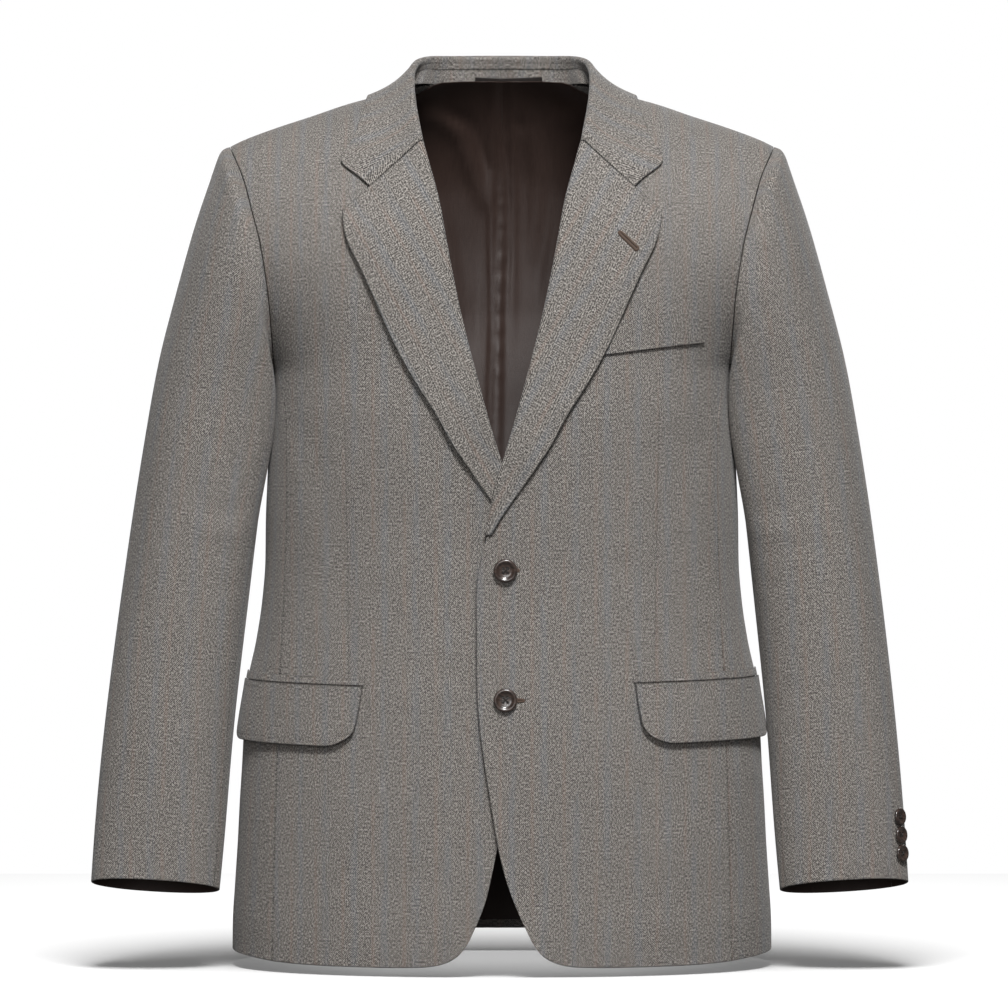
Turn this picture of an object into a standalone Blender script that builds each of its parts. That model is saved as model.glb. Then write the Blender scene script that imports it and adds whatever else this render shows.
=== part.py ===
"""Wool suit jacket, worn and hollow: two-button front, notch lapels, flap pockets.

Frame: +Z up, the front faces -Y, +X is the wearer's left. The origin is where the wearer's neck
holds the jacket: on the centre line, level with the side neck points. Sizes are in millimetres.
"""

import math

import bpy
import numpy as np
from mathutils import Vector
from mathutils.bvhtree import BVHTree

MM = 0.001
CLOTH = 1.8  # wall of one layer of suiting with its interfacing
LINING_WALL = 1.0
SEAM = 0.2  # each side's half of the gap at a seam
LAP_OUT = 1.0  # the left front stands out where the fronts lap
LAP_IN = 1.7  # and the right front stands in

# Horizontal sections of the body, hem to shoulder. Above the armhole the half width is the one the
# front and back panels would have without the armhole cut away.
#   z, half_width, front_depth, back_depth, squareness
BODY = (
    (-790, 241.8, 127, 121, 2.25),
    (-737, 241.3, 127, 121, 2.25),
    (-701, 239.1, 126, 120, 2.25),
    (-665, 236.8, 126, 118, 2.25),
    (-629, 235.0, 125, 116, 2.25),
    (-594, 232.8, 124, 113, 2.25),
    (-558, 231.0, 123, 109, 2.25),
    (-522, 227.8, 122, 105, 2.25),
    (-486, 220.3, 121, 101, 2.25),
    (-450, 214.9, 121, 98, 2.25),
    (-414, 212.1, 122, 97, 2.25),
    (-378, 211.7, 124, 100, 2.25),
    (-345, 210.4, 127, 106, 2.25),
    (-310, 208.8, 130, 114, 2.25),
    (-280, 206.8, 132, 120, 2.3),
    (-246, 205.0, 132, 125, 2.3),
    (-232, 210.5, 131, 127, 2.3),
    (-210, 222.0, 130, 130, 2.3),
    (-184, 240.0, 128, 132, 2.3),
    (-158, 258.0, 125, 132, 2.3),
    (-132, 276.0, 121, 131, 2.3),
    (-100, 290.0, 115, 127, 2.3),
    (-40, 298.0, 105, 115, 2.3),
    (50, 300.0, 96, 102, 2.3),
)

# The ridge of the shoulder, from the centre out.
#   x, z, y
SHOULDER = (
    (0, 44, 14),
    (45, 31, 14),
    (82, 11, 13),
    (105, 4.5, 12),
    (138, -4.5, 10),
    (170, -15.5, 8),
    (203, -26.5, 6),
    (233, -38.0, 4),
    (244, -43.5, 4),
    (275, -60, 4),
)
FRONT_ROUNDING = 150  # height over which the front curves back to the ridge
BACK_ROUNDING = 112

# Seams seen from the front or the back: where each crosses a height.
#   z, side front seam x, side back seam x
SIDE_SEAMS = (
    (-790, 203, 184),
    (-620, 199, 176),
    (-522, 196, 169),
    (-440, 192.5, 165),
    (-343, 190, 171),
    (-300, 190.5, 175.5),
    (-270, 194, 184),
    (-240, 202.6, 198),
)
SEAM_TOP = -240  # where both side seams meet the armhole
UNDERARM = -249  # the lowest point of the armhole

# Armhole edges of front and back, from the side seam's top to the shoulder.
#   z, front x, back x
ARMHOLE = (
    (-240, 202.6, 198.0),
    (-228, 203.2, 200.6),
    (-210, 204.0, 202.6),
    (-184, 205.6, 204.6),
    (-158, 208.9, 208.6),
    (-132, 213.4, 213.0),
    (-109, 219.5, 218.5),
    (-89, 225.0, 224.5),
    (-71, 231.0, 231.0),
    (-57, 237.4, 237.4),
    (-47, 242.2, 242.2),
    (-43.5, 244.0, 244.0),
)

# Rows of the panels: those below the armhole, and those beside it.
LOW_HEIGHTS = (-765, -735, -700, -660, -620, -578, -535, -492, -450, -410, -372, -335, -302, -270)
HIGH_HEIGHTS = tuple(row[0] for row in ARMHOLE)

# Roll line of the lapel and its outer edge, top to the break point.
#   z, x
ROLL = (
    (-46, 71.0),
    (-70, 64.5),
    (-98, 57.0),
    (-133, 50.5),
    (-168, 44.0),
    (-203, 36.5),
    (-237, 28.0),
    (-271, 19.0),
    (-305, 9.5),
    (-339, -1.5),
    (-362, -7.2),
    (-381, -11.0),
    (-400, -15.6),
)
LAPEL_EDGE = (
    (-117, 140.2),
    (-126, 138.0),
    (-136, 133.4),
    (-160, 122.0),
    (-192, 107.2),
    (-213, 98.0),
    (-235, 87.4),
    (-262, 72.0),
    (-290, 54.5),
    (-309, 44.5),
    (-334, 28.4),
    (-358, 12.0),
    (-379, -2.5),
    (-391, -9.5),
)
LAPEL_POINT = (138.6, -110.0)
NOTCH = (115.5, -87.2)

# Front edges below the break point and round the cutaway; the wearer's left front laps on top.
#   z, left front's edge x, right front's edge x
FRONT_EDGE = (
    (-400, -15.6, 13.0),
    (-426, -21.0, 15.5),
    (-447, -22.2, 16.5),
    (-490, -22.2, 16.5),
    (-532, -21.2, 15.5),
    (-558, -19.6, 13.0),
    (-586, -15.8, 9.5),
    (-621, -10.8, 4.5),
    (-650, -5.4, -0.5),
    (-667, -2.8, -4.2),
    (-683, 1.4, -8.2),
    (-706, 8.9, -13.4),
    (-732, 18.6, -21.2),
    (-744, 25.5, -28.2),
)
# Hem from the rounded corner of the front to the side seam.
#   x, z
FRONT_HEM = (
    (26.0, -744.0),
    (31.0, -752.0),
    (38.5, -759.5),
    (49.0, -764.5),
    (64.0, -767.4),
    (100.0, -768.4),
    (150.0, -768.2),
    (190.0, -767.2),
    (203.0, -766.5),
)
HEM_FRONT, HEM_SIDE, HEM_BACK = -766.5, -761.0, -755.0

# Neck seam from the centre back to the shoulder's neck point.
#   x, z
NECK = (
    (0, 20.0),
    (28, 19.6),
    (50, 18.0),
    (67, 15.5),
    (78, 12.8),
    (86, 9.8),
)
# The collar from the centre back to the gorge: its fold, its leaf's edge and the neck seam below it.
#   fold x, y, z; leaf lies on, x, z; neck seam lies on, x, z
COLLAR = (
    (0, 64, 43.4, "back", 0, -3.0, "back", 0, 20.0),
    (16, 63.3, 43.4, "back", 22, -3.0, "back", 16, 19.9),
    (32, 60.5, 43.0, "back", 45, -3.5, "back", 31, 19.5),
    (48, 54, 42.3, "back", 68, -4.5, "back", 48, 18.2),
    (60, 43.0, 41.2, "back", 88, -6.5, "back", 63, 16.3),
    (69, 28.5, 38.8, "back", 105, -8.5, "back", 76, 13.8),
    (74.3, 15, 35.4, "back", 114.5, -5.5, "back", 83, 11.3),
    (76.8, 6, 32.0, "back", 118.2, -1.0, "ridge", 86, 0),
    (78.2, -2, 28.0, "ridge", 119.4, 0, "front", 86, 8.5),
    (79.2, -11, 23.8, "front", 120.4, -2.5, "front", 85.6, 2.5),
    (79.2, -29, 11.0, "front", 122.4, -15.0, "front", 84.0, -7.0),
    (77.8, -47, -3.5, "front", 127.0, -30.0, "front", 81.6, -17.0),
    (75.8, -60.5, -16.5, "front", 134.0, -47.5, "front", 79.0, -27.0),
    (74.0, -71.0, -26.5, "front", 141.2, -63.6, "front", 77.2, -34.5),
    (72.0, -78.8, -36.5, "front", 128.5, -75.4, "front", 75.4, -41.0),
)
LEAF_LIFT = 2.4  # from the body to the middle of the leaf's wall, at its edge
LAPEL_LIFT = 4.7  # the same at the lapel's edge, above the breast pocket's welt
ROLL_RADIUS = 3.2  # of the soft roll at the fold of collar and lapels
ACROSS_LEAF = (0.08, 0.2, 0.38, 0.58, 0.79, 1.0)  # shares of the way from the fold to the edge
FALL_INSIDE = 9.0  # the collar's cloth turns down this far inside, to the stand
GORGE_GAP = 0.7  # between the end of the collar and the top of the lapel

# Sleeve sections below the armhole, down to the cuff. The tuck is how far the front of the sleeve
# laps over the body's side.
#   outer_x, outer_z, inner_x, inner_z, front_y, back_y, bow, tuck, pitch
SLEEVE = (
    (250.5, -46.5, 206.6, -249, -83, 94, -11, 0, 0),
    (256.3, -58, 208.6, -256, -85, 95, -8, 3, 0),
    (262.0, -75, 210.0, -265, -84, 94, -5, 7, 0),
    (271.5, -103, 211.3, -277, -81, 90, -2, 12, 0),
    (282.3, -139, 212.4, -292, -76, 84, 0, 15, 0),
    (294.5, -184, 213.2, -311, -71, 77, 0, 15, 0),
    (306.2, -230, 214.2, -334, -67, 70, 0, 12, 0),
    (316.6, -285, 216.6, -361, -64, 64, 0, 8, 0.02),
    (326.3, -345, 220.6, -396, -62, 59, 0, 4, 0.03),
    (336.2, -415, 226.0, -445, -60, 51, 0, 1, 0.055),
    (346.2, -495, 232.6, -506, -59, 39, 0, 0, 0.1),
    (354.2, -570, 238.9, -573, -60, 24, 0, 0, 0.15),
    (360.8, -650, 244.8, -654, -61, 9, 0, 0, 0.2),
    (363.8, -700.8, 249.4, -707.4, -62, -2, 0, 0, 0.26),
)
SWING = 2.0  # both cuffs hang this far to the wearer's right
SLEEVE_SQUARE = 2.15
SLEEVE_EASE = 0.7  # the sleeve starts this far out from the armhole
FRONT_SLEEVE_SEAM, BACK_SLEEVE_SEAM = 157, 318  # degrees round the sleeve from its outer edge

VENT_TOP = -500
VENT_UNDERLAY = 32  # the right back runs this far under the left below the vent's top

# Flap pockets at the hips. The outlines of the flap run from its front end, in millimetres along
# the body.
FLAP_FRONT_X = {"left": 116.5, "right": 122}
POCKET_DROP = {"left": -1.2, "right": 1.5}  # the right pocket sits a little lower
FLAP_REAR_ANGLE = 89
FLAP_WALL = 2.4
FLAP_LIFT_TOP, FLAP_LIFT_HEM = 0.5, 2.4
JET_WALL, JET_TALL = 1.4, 7.0
POCKET_FRONT_Z, POCKET_REAR_Z = -522.0, -518.5
#   distance from the front end (negative: from the rear end), z
FLAP_FRONT_END = ((13.5, -568.5), (6.4, -562), (3.6, -553), (1.5, -538), (0, -522.0))
FLAP_HEM = (
    (13.5, -568.5), (22, -573), (36, -574.6), (70, -574), (-40, -572.6), (-16, -571), (-7, -567)
)
FLAP_REAR_END = ((-7, -567), (-2.5, -559), (-1, -543), (0, -518.5))
# Breast pocket welt: x, z of its four corners, from the one at the lapel's top.
WELT = ((97.0, -203.8), (176.0, -194.9), (177.2, -221.9), (83.5, -235.2))

BUTTON_X = 3.0
BUTTON_HEIGHTS = (("upper", -422), ("lower", -535))
BUTTON_DIAMETER, BUTTON_THICK = 20.8, 4.0
CUFF_BUTTON_DIAMETER, CUFF_BUTTON_THICK = 15.2, 3.2
# The left cuff is turned so that its buttons show from the front; the right one's lie at the back.
CUFF_BUTTON_TURN = {"left": math.radians(30.5), "right": math.radians(-36)}
CUFF_BUTTON_HEIGHTS = (-641.5, -657.7, -673.9)

COLOURS = {
    "suiting": ((0.190, 0.182, 0.172), 0.85),
    "lining": ((0.040, 0.029, 0.024), 0.45),
    "horn": ((0.045, 0.028, 0.022), 0.3),
}


# ---------------------------------------------------------------- curves through the tables
def through(table, at):
    """Values of a table's later columns where its first column is `at`, smooth and with no overshoot."""
    rows = np.array(table, float)
    rows = rows[np.argsort(rows[:, 0], kind="stable")]
    key, values = rows[:, 0], rows[:, 1:]
    step = np.diff(key)[:, None]
    slope = np.diff(values, axis=0) / step
    tangent = np.zeros_like(values)
    tangent[0], tangent[-1] = slope[0], slope[-1]
    if len(key) > 2:
        product = slope[:-1] * slope[1:]
        total = slope[:-1] + slope[1:]
        tangent[1:-1] = np.where(product > 0, 2 * product / np.where(total == 0, 1, total), 0)
    at = np.clip(np.asarray(at, float), key[0], key[-1])
    i = np.clip(np.searchsorted(key, at, side="right") - 1, 0, len(key) - 2)
    width = (key[i + 1] - key[i])[..., None]
    t = ((at - key[i])[..., None]) / width
    return (
        values[i] * (1 + 2 * t) * (1 - t) ** 2
        + values[i + 1] * t * t * (3 - 2 * t)
        + tangent[i] * width * t * (1 - t) ** 2
        - tangent[i + 1] * width * t * t * (1 - t)
    )


def along(points, shares):
    """Points at shares of the length of a smooth curve through the given points."""
    points = np.array(points, float)
    knots = np.linspace(0, 1, len(points))
    fine = through(np.column_stack([knots, points]), np.linspace(0, 1, 400))
    length = np.concatenate([[0], np.cumsum(np.linalg.norm(np.diff(fine, axis=0), axis=1))])
    at = np.asarray(shares) * length[-1]
    return np.column_stack([np.interp(at, length, fine[:, k]) for k in range(points.shape[1])])


def ease(t):
    """A soft step from 0 at 0 to 1 at 1."""
    t = np.clip(t, 0, 1)
    return t * t * (3 - 2 * t)


# ---------------------------------------------------------------- the body as two depth fields
def section(x, z, depth_column):
    """Depth of the rounded section at a height, before the shoulder's rounding."""
    size = through(BODY, z)
    half, depth, square = size[..., 0], size[..., depth_column], size[..., 3]
    inside = np.clip(1 - np.abs(x / half) ** square, 1e-6, 1)
    return depth * inside ** (1 / square)


def body_y(x, z, side):
    """Depth of the cloth's outer surface, on the front or on the back."""
    x, z = np.abs(np.asarray(x, float)), np.asarray(z, float)
    ridge = through(SHOULDER, x)
    height = ridge[..., 0] - z
    rounding = FRONT_ROUNDING if side == "front" else BACK_ROUNDING
    rise = np.sqrt(1 - (1 - np.clip(height / rounding, 0, 1)) ** 2)
    flat = -section(x, z, 1) if side == "front" else section(x, z, 2)
    return ridge[..., 1] + (flat - ridge[..., 1]) * rise


def body_point(x, z, side):
    return np.stack([x, body_y(x, z, side), z], axis=-1)


def body_normal(x, z, side):
    """Which way the outer surface faces."""
    d = 0.5
    z = np.minimum(z, through(SHOULDER, np.abs(x))[..., 0] - 1.0)
    by_x = (body_y(x + d, z, side) - body_y(x - d, z, side)) / (2 * d)
    by_z = (body_y(x, z + d, side) - body_y(x, z - d, side)) / (2 * d)
    sign = -1 if side == "front" else 1
    normal = np.stack([-by_x * sign, np.full(np.shape(by_x), float(sign)), -by_z * sign], axis=-1)
    return normal / np.linalg.norm(normal, axis=-1, keepdims=True)


def ridge_normal(x):
    by_x = (through(SHOULDER, x + 0.5) - through(SHOULDER, x - 0.5))[..., 0]
    normal = np.stack([-by_x, np.zeros_like(by_x), np.ones_like(by_x)], axis=-1)
    return normal / np.linalg.norm(normal, axis=-1, keepdims=True)


def ring_point(angle, z):
    """The body's outer surface below the armhole: angle 0 at the front, 90 degrees at the side."""
    size = through(BODY, z)
    half, square = size[..., 0], size[..., 3]
    depth = np.where(np.cos(angle) > 0, size[..., 1], size[..., 2])
    radius = (
        np.abs(np.sin(angle) / half) ** square + np.abs(np.cos(angle) / depth) ** square
    ) ** (-1 / square)
    return np.stack([radius * np.sin(angle), -radius * np.cos(angle), z], axis=-1)


def ring_normal(angle, z):
    d = 0.002
    across = ring_point(angle + d, z) - ring_point(angle - d, z)
    up = ring_point(angle, z + 1) - ring_point(angle, z - 1)
    normal = np.cross(across, up)
    return normal / np.linalg.norm(normal, axis=-1, keepdims=True)


# ---------------------------------------------------------------- meshes
def grid_normals(grid, closed=False):
    """Unit normals of a grid of points, rows by columns."""
    if closed:
        across = np.roll(grid, -1, axis=1) - np.roll(grid, 1, axis=1)
    else:
        across = np.gradient(grid, axis=1)
    normal = np.cross(across, np.gradient(grid, axis=0))
    return normal / np.maximum(np.linalg.norm(normal, axis=-1, keepdims=True), 1e-9)


def wall(outer, inner):
    """Points and faces of a closed wall between two grids; the outer one faces out."""
    rows, cols = outer.shape[:2]
    points = np.concatenate([outer.reshape(-1, 3), inner.reshape(-1, 3)])
    faces = []
    under = rows * cols

    def at(i, j):
        return i * cols + j

    for i in range(rows - 1):
        for j in range(cols - 1):
            a, b, c, d = at(i, j), at(i, j + 1), at(i + 1, j + 1), at(i + 1, j)
            faces.append((a, b, c, d))
            faces.append((under + d, under + c, under + b, under + a))
    for j in range(cols - 1):
        for i, (first, second) in ((0, (j + 1, j)), (rows - 1, (j, j + 1))):
            a, b = at(i, first), at(i, second)
            faces.append((a, b, under + b, under + a))
    for i in range(rows - 1):
        for j, (first, second) in ((0, (i, i + 1)), (cols - 1, (i + 1, i))):
            a, b = at(first, j), at(second, j)
            faces.append((a, b, under + b, under + a))
    return points, faces


def add_mesh(name, points, faces, kind):
    """One object of the jacket; the faces are turned outward by its volume."""
    mesh = bpy.data.meshes.new(name)
    mesh.from_pydata([tuple(p) for p in np.asarray(points) * MM], [], faces)
    mesh.update()
    mesh.calc_loop_triangles()
    corners = np.array([[mesh.vertices[v].co for v in t.vertices] for t in mesh.loop_triangles])
    if np.linalg.det(corners).sum() < 0:
        mesh.flip_normals()
    obj = bpy.data.objects.new(name, mesh)
    bpy.data.collections["suit_jacket"].objects.link(obj)
    colour, roughness = COLOURS[kind]
    material = bpy.data.materials.new(name)
    material.use_nodes = True
    shader = material.node_tree.nodes["Principled BSDF"]
    shader.inputs["Base Color"].default_value = (*colour, 1)
    shader.inputs["Roughness"].default_value = roughness
    shader.inputs["Metallic"].default_value = 0
    mesh.materials.append(material)
    return obj


def add_cloth(name, outer, thickness, kind="suiting", normals=None):
    """A wall of cloth under an outer surface given as a grid of points."""
    if normals is None:
        normals = grid_normals(outer)
    points, faces = wall(outer, outer - normals * thickness)
    return add_mesh(name, points, faces, kind)


def mirrored(grid):
    """The same grid on the wearer's other side, still facing out."""
    return (grid * np.array([-1.0, 1.0, 1.0]))[:, ::-1]


def coons(bottom, top, left, right):
    """A grid filled in between four edges that meet at their ends, in rows from bottom to top."""
    u = 0.5 * (share(bottom) + share(top))[None, :, None]
    v = 0.5 * (share(left) + share(right))[:, None, None]
    return (
        (1 - v) * bottom[None]
        + v * top[None]
        + (1 - u) * left[:, None]
        + u * right[:, None]
        - (1 - u) * (1 - v) * bottom[0]
        - u * (1 - v) * bottom[-1]
        - (1 - u) * v * top[0]
        - u * v * top[-1]
    )


def share(points):
    """How far along its length each point of a line lies, from 0 to 1."""
    length = np.concatenate([[0], np.cumsum(np.linalg.norm(np.diff(points, axis=0), axis=1))])
    return length / length[-1]


# ---------------------------------------------------------------- rows shared by the panels
def seam_x(z, which):
    return through(SIDE_SEAMS, z)[..., which]


def hem_z(angle):
    """Height of the hem round the side, from the front's side seam to the centre back."""
    turn = np.degrees(angle)
    return np.interp(turn, (55, 66, 90, 120, 180), (HEM_FRONT, HEM_FRONT, HEM_SIDE, -757, HEM_BACK))


def squeeze(heights, hem):
    """The low rows, stretched so that the lowest lies on the hem."""
    heights = np.array(heights, float)
    share_up = (heights - heights[0]) / (SEAM_TOP - heights[0])
    return hem + (SEAM_TOP - hem) * share_up


def low_and_high(hem):
    """Heights of all the rows of a front or back at its side seam and armhole."""
    return np.concatenate([squeeze(LOW_HEIGHTS, hem), HIGH_HEIGHTS])


def front_inner_line(side, heights):
    """Inner edge of a front: neck seam, roll line, front edge, as x at the given heights."""
    column = 0 if side == "left" else 1
    lower = [(z, row[column]) for z, *row in FRONT_EDGE]
    # The front's edge lies just inside the lapel's roll.
    upper = [(z, x + (2.8 if z > -50 else 1.5)) for z, x in ROLL[:-1]]
    if side == "right":
        lower = [(z, -x) for z, x in lower]
    neck = [(-38, 78.0), (-27, 79.0), (-14, 82.5), (0, 85.2), (9.8, 86.0)]
    return through(sorted(lower + upper + neck), heights)[..., 0]


def lap(x, z):
    """How far the left front stands out and the right one in, at a point of the body."""
    near = ease((48 - np.abs(x + 2)) / 18) * ease((-285 - z) / 40)
    lapel_room = ease((z + 452) / 40)  # the right lapel runs between the fronts here
    return near * (LAP_OUT + 1.3 * lapel_room), near * (LAP_IN + 1.0 * lapel_room)


def build_fronts():
    for side in ("left", "right"):
        # Laid out as the wearer's left front; the right one is mirrored at the end.
        hem_end = FRONT_HEM[-1][1]
        heights = low_and_high(hem_end)
        outer_x = np.concatenate([
            seam_x(heights[: len(LOW_HEIGHTS)], 0),
            [row[1] for row in ARMHOLE],
        ]) - SEAM
        outer_edge = np.column_stack([outer_x, heights])
        table = FRONT_EDGE if side == "left" else [(z, 0, -b) for z, a, b in FRONT_EDGE]
        corner_z = table[-1][0]
        corner_x = table[-1][1] if side == "left" else table[-1][2]
        rows = len(heights)
        inner_heights = corner_z + (9.8 - corner_z) * share(outer_edge)
        inner_x = front_inner_line(side, inner_heights)
        inner_edge = np.column_stack([inner_x, inner_heights])
        hem = np.array(FRONT_HEM, float)
        hem[:, 0] += (corner_x - hem[0, 0]) * (1 - ease((hem[:, 0] - 26) / 90))
        cols = 13
        bottom = along(hem, np.linspace(0, 1, cols))
        bottom[0], bottom[-1] = inner_edge[0], outer_edge[0]
        ridge_x = np.linspace(inner_edge[-1, 0], outer_edge[-1, 0], cols)
        top = np.column_stack([ridge_x, through(SHOULDER, ridge_x)[:, 0]])
        inner_edge[-1], outer_edge[-1] = top[0], top[-1]
        flat = coons(bottom, top, inner_edge, outer_edge)
        x, z = flat[..., 0], flat[..., 1]
        x_true = x if side == "left" else -x
        points = body_point(x, z, "front")
        normals = body_normal(x, z, "front")
        out, back = lap(x_true, z)
        move = out if side == "left" else -back
        points = points + normals * move[..., None]
        points[-1, :, 1] -= SEAM
        normals[-1] = ridge_normal(x[-1])
        if side == "right":
            points, normals = mirrored(points), mirrored(normals)
        add_cloth(f"front_{side}", points, CLOTH, normals=normals)


def build_backs():
    for side in ("left", "right"):
        hem_end = -757.0
        heights = low_and_high(hem_end)
        outer_x = np.concatenate([
            seam_x(heights[: len(LOW_HEIGHTS)], 1),
            [row[2] for row in ARMHOLE],
        ]) - SEAM
        cols = 10
        centre_top = NECK[0][1]
        centre = HEM_BACK + (centre_top - HEM_BACK) * share(np.column_stack([outer_x, heights]))
        neck = np.array(NECK, float)
        top_neck = along(neck, np.linspace(0, 1, 5))
        ridge_x = np.linspace(neck[-1, 0], outer_x[-1], cols - 4)
        ridge = np.column_stack([ridge_x, through(SHOULDER, ridge_x)[:, 0]])
        top = np.concatenate([top_neck[:-1], ridge])
        top[0, 0] = SEAM
        inner_edge = np.column_stack([np.full(len(heights), SEAM), centre])
        outer_edge = np.column_stack([outer_x, heights])
        inner_edge[-1], outer_edge[-1] = top[0], top[-1]
        bottom_x = np.linspace(SEAM, outer_x[0], len(top))
        bottom = np.column_stack([bottom_x, HEM_BACK + (hem_end - HEM_BACK) * bottom_x / outer_x[0]])
        flat = coons(bottom, top, inner_edge, outer_edge)
        x, z = flat[..., 0], flat[..., 1]
        extra = 0
        if side == "right":
            extra = 2
            in_vent = z[:, 0] < VENT_TOP
            turned_in = in_vent & (np.arange(len(in_vent)) < in_vent.sum() - 1)
            edge = np.where(turned_in, -VENT_UNDERLAY, SEAM)
            x = np.column_stack([edge, np.full(len(edge), 1.2), np.full(len(edge), 14.0), x[:, 1:]])
            z = np.column_stack([z[:, 0], z[:, 0], z[:, 0], z[:, 1:]])
        points = body_point(x, z, "back")
        normals = body_normal(x, z, "back")
        if side == "right":
            sunk = np.where(in_vent, CLOTH + 0.6, 0.0)[:, None, None]
            points[:, :2] -= normals[:, :2] * sunk
        points[-1, 4 + extra:, 1] += SEAM
        normals[-1, 4 + extra:] = ridge_normal(x[-1, 4 + extra:])
        # Columns run from the side to the centre, so that the left panel faces out.
        points, normals = points[:, ::-1], normals[:, ::-1]
        if side == "right":
            points, normals = mirrored(points), mirrored(normals)
        add_cloth(f"back_{side}", points, CLOTH, normals=normals)


def side_grid(cols):
    """The side body's outer surface on the wearer's left, from its front seam to its back seam."""
    shares = np.linspace(0, 1, cols)
    heights = squeeze(LOW_HEIGHTS, 0.0)
    rows = []
    for k in range(len(LOW_HEIGHTS) + 1):
        up = 1.0 if k == len(LOW_HEIGHTS) else (heights[k]) / SEAM_TOP
        line = []
        for s in shares:
            z = -500.0
            for _ in range(3):
                front_x, back_x = seam_x(z, 0), seam_x(z, 1)
                start = math.atan2(front_x, -float(body_y(front_x, z, "front")))
                end = math.atan2(back_x, -float(body_y(back_x, z, "back")))
                angle = start + (end - start) * s
                top = SEAM_TOP + (UNDERARM - SEAM_TOP) * math.sin(math.pi * s) ** 0.8
                hem = float(hem_z(angle))
                if s == 0:
                    hem = FRONT_HEM[-1][1]
                z = hem + (top - hem) * up
            line.append((angle, z))
        rows.append(line)
    return np.array(rows)


def build_sides():
    cols = 7
    grid = side_grid(cols)
    angle, z = grid[..., 0].copy(), grid[..., 1]
    points = ring_point(angle, z)
    normals = ring_normal(angle, z)
    across = np.gradient(points, axis=1)
    across /= np.linalg.norm(across, axis=-1, keepdims=True)
    points[:, 0] += across[:, 0] * SEAM
    points[:, -1] -= across[:, -1] * SEAM
    add_cloth("side_left", points, CLOTH, normals=normals)
    add_cloth("side_right", mirrored(points), CLOTH, normals=mirrored(normals))
    return points


def armhole_loop(side_top):
    """The armhole on the wearer's left: shoulder, down the front, under the arm, up the back."""
    table = np.array(ARMHOLE, float)
    front = body_point(table[:, 1], table[:, 0], "front")[::-1]
    back = body_point(table[:, 2], table[:, 0], "back")
    shoulder = np.array([table[-1, 1], through(SHOULDER, table[-1, 1])[1], table[-1, 0]])
    return np.concatenate([[shoulder], front[1:-1], side_top, back[1:-1]])


def sleeve_ring(turn, row):
    """Points of one section of the left sleeve's outer surface at turns round it from its outside."""
    outer_x, outer_z, inner_x, inner_z, front_y, back_y, bow, tuck, pitch = row
    c, s = np.cos(turn), np.sin(turn)
    radius = (np.abs(c) ** SLEEVE_SQUARE + np.abs(s) ** SLEEVE_SQUARE) ** (-1 / SLEEVE_SQUARE)
    c, s = c * radius, s * radius
    x = (outer_x + inner_x) / 2 + (outer_x - inner_x) / 2 * c + bow * s * s
    x = x - 4 * tuck * np.maximum(0, -np.cos(turn) * np.sin(turn)) ** 2
    y = (front_y + back_y) / 2 - (back_y - front_y) / 2 * s
    z = (outer_z + inner_z) / 2 + (outer_z - inner_z) / 2 * c
    return np.stack([x, y, z - pitch * (y - (front_y + back_y) / 2)], axis=-1)


def sleeve_rings(loop):
    """Rings of the left sleeve's outer surface, the columns running as round the armhole."""
    count = len(loop)
    lowest = int(np.argmin(loop[:, 2]))
    ahead = np.concatenate([loop, loop[:1]])
    length = np.concatenate([[0], np.cumsum(np.linalg.norm(np.diff(ahead, axis=0), axis=1))])
    turn = np.interp(length[:count], (0, length[lowest], length[-1]), (0, math.pi, 2 * math.pi))
    rings = [loop + np.array([SLEEVE_EASE, 0, 0])]
    rings += [sleeve_ring(turn, row) for row in SLEEVE]
    return np.array(rings), turn


def swung(points, side):
    """Sleeve points with the swing of the cuffs, on the wearer's left or right."""
    moved = points.copy()
    moved[..., 0] -= (1 if side == "left" else -1) * SWING * ease((-300 - points[..., 2]) / 400)
    return moved


def build_sleeves(side_top):
    loop = armhole_loop(side_top)
    rings, turn = sleeve_rings(loop)
    normals = grid_normals(rings, closed=True)
    round_ring = np.roll(rings, -1, axis=1) - np.roll(rings, 1, axis=1)
    round_ring /= np.linalg.norm(round_ring, axis=-1, keepdims=True)
    # The two sleeve pieces part a little more where they turn sharply at the armhole.
    gap = SEAM * (1 + 3 * np.exp(-np.arange(len(rings)) / 1.2))[:, None]
    count = len(loop)
    degrees = np.degrees(turn)
    front_seam = int(np.argmin(np.abs(degrees - FRONT_SLEEVE_SEAM)))
    back_seam = int(np.argmin(np.abs(degrees - BACK_SLEEVE_SEAM)))
    spans = (
        ("top", list(range(back_seam, count)) + list(range(0, front_seam + 1))),
        ("under", list(range(front_seam, back_seam + 1))),
    )
    for name, columns in spans:
        outer, facing = rings[:, columns].copy(), normals[:, columns]
        outer[:, 0] += round_ring[:, columns[0]] * gap
        outer[:, -1] -= round_ring[:, columns[-1]] * gap
        middle = len(columns) // 2
        away = outer[5, middle] - rings[5].mean(axis=0)
        sign = 1 if np.dot(facing[5, middle], away) > 0 else -1
        facing = facing * sign
        add_cloth(f"sleeve_{name}_left", swung(outer, "left"), CLOTH, normals=facing)
        right = mirrored(swung(outer, "right"))
        add_cloth(f"sleeve_{name}_right", right, CLOTH, normals=mirrored(facing))


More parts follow.
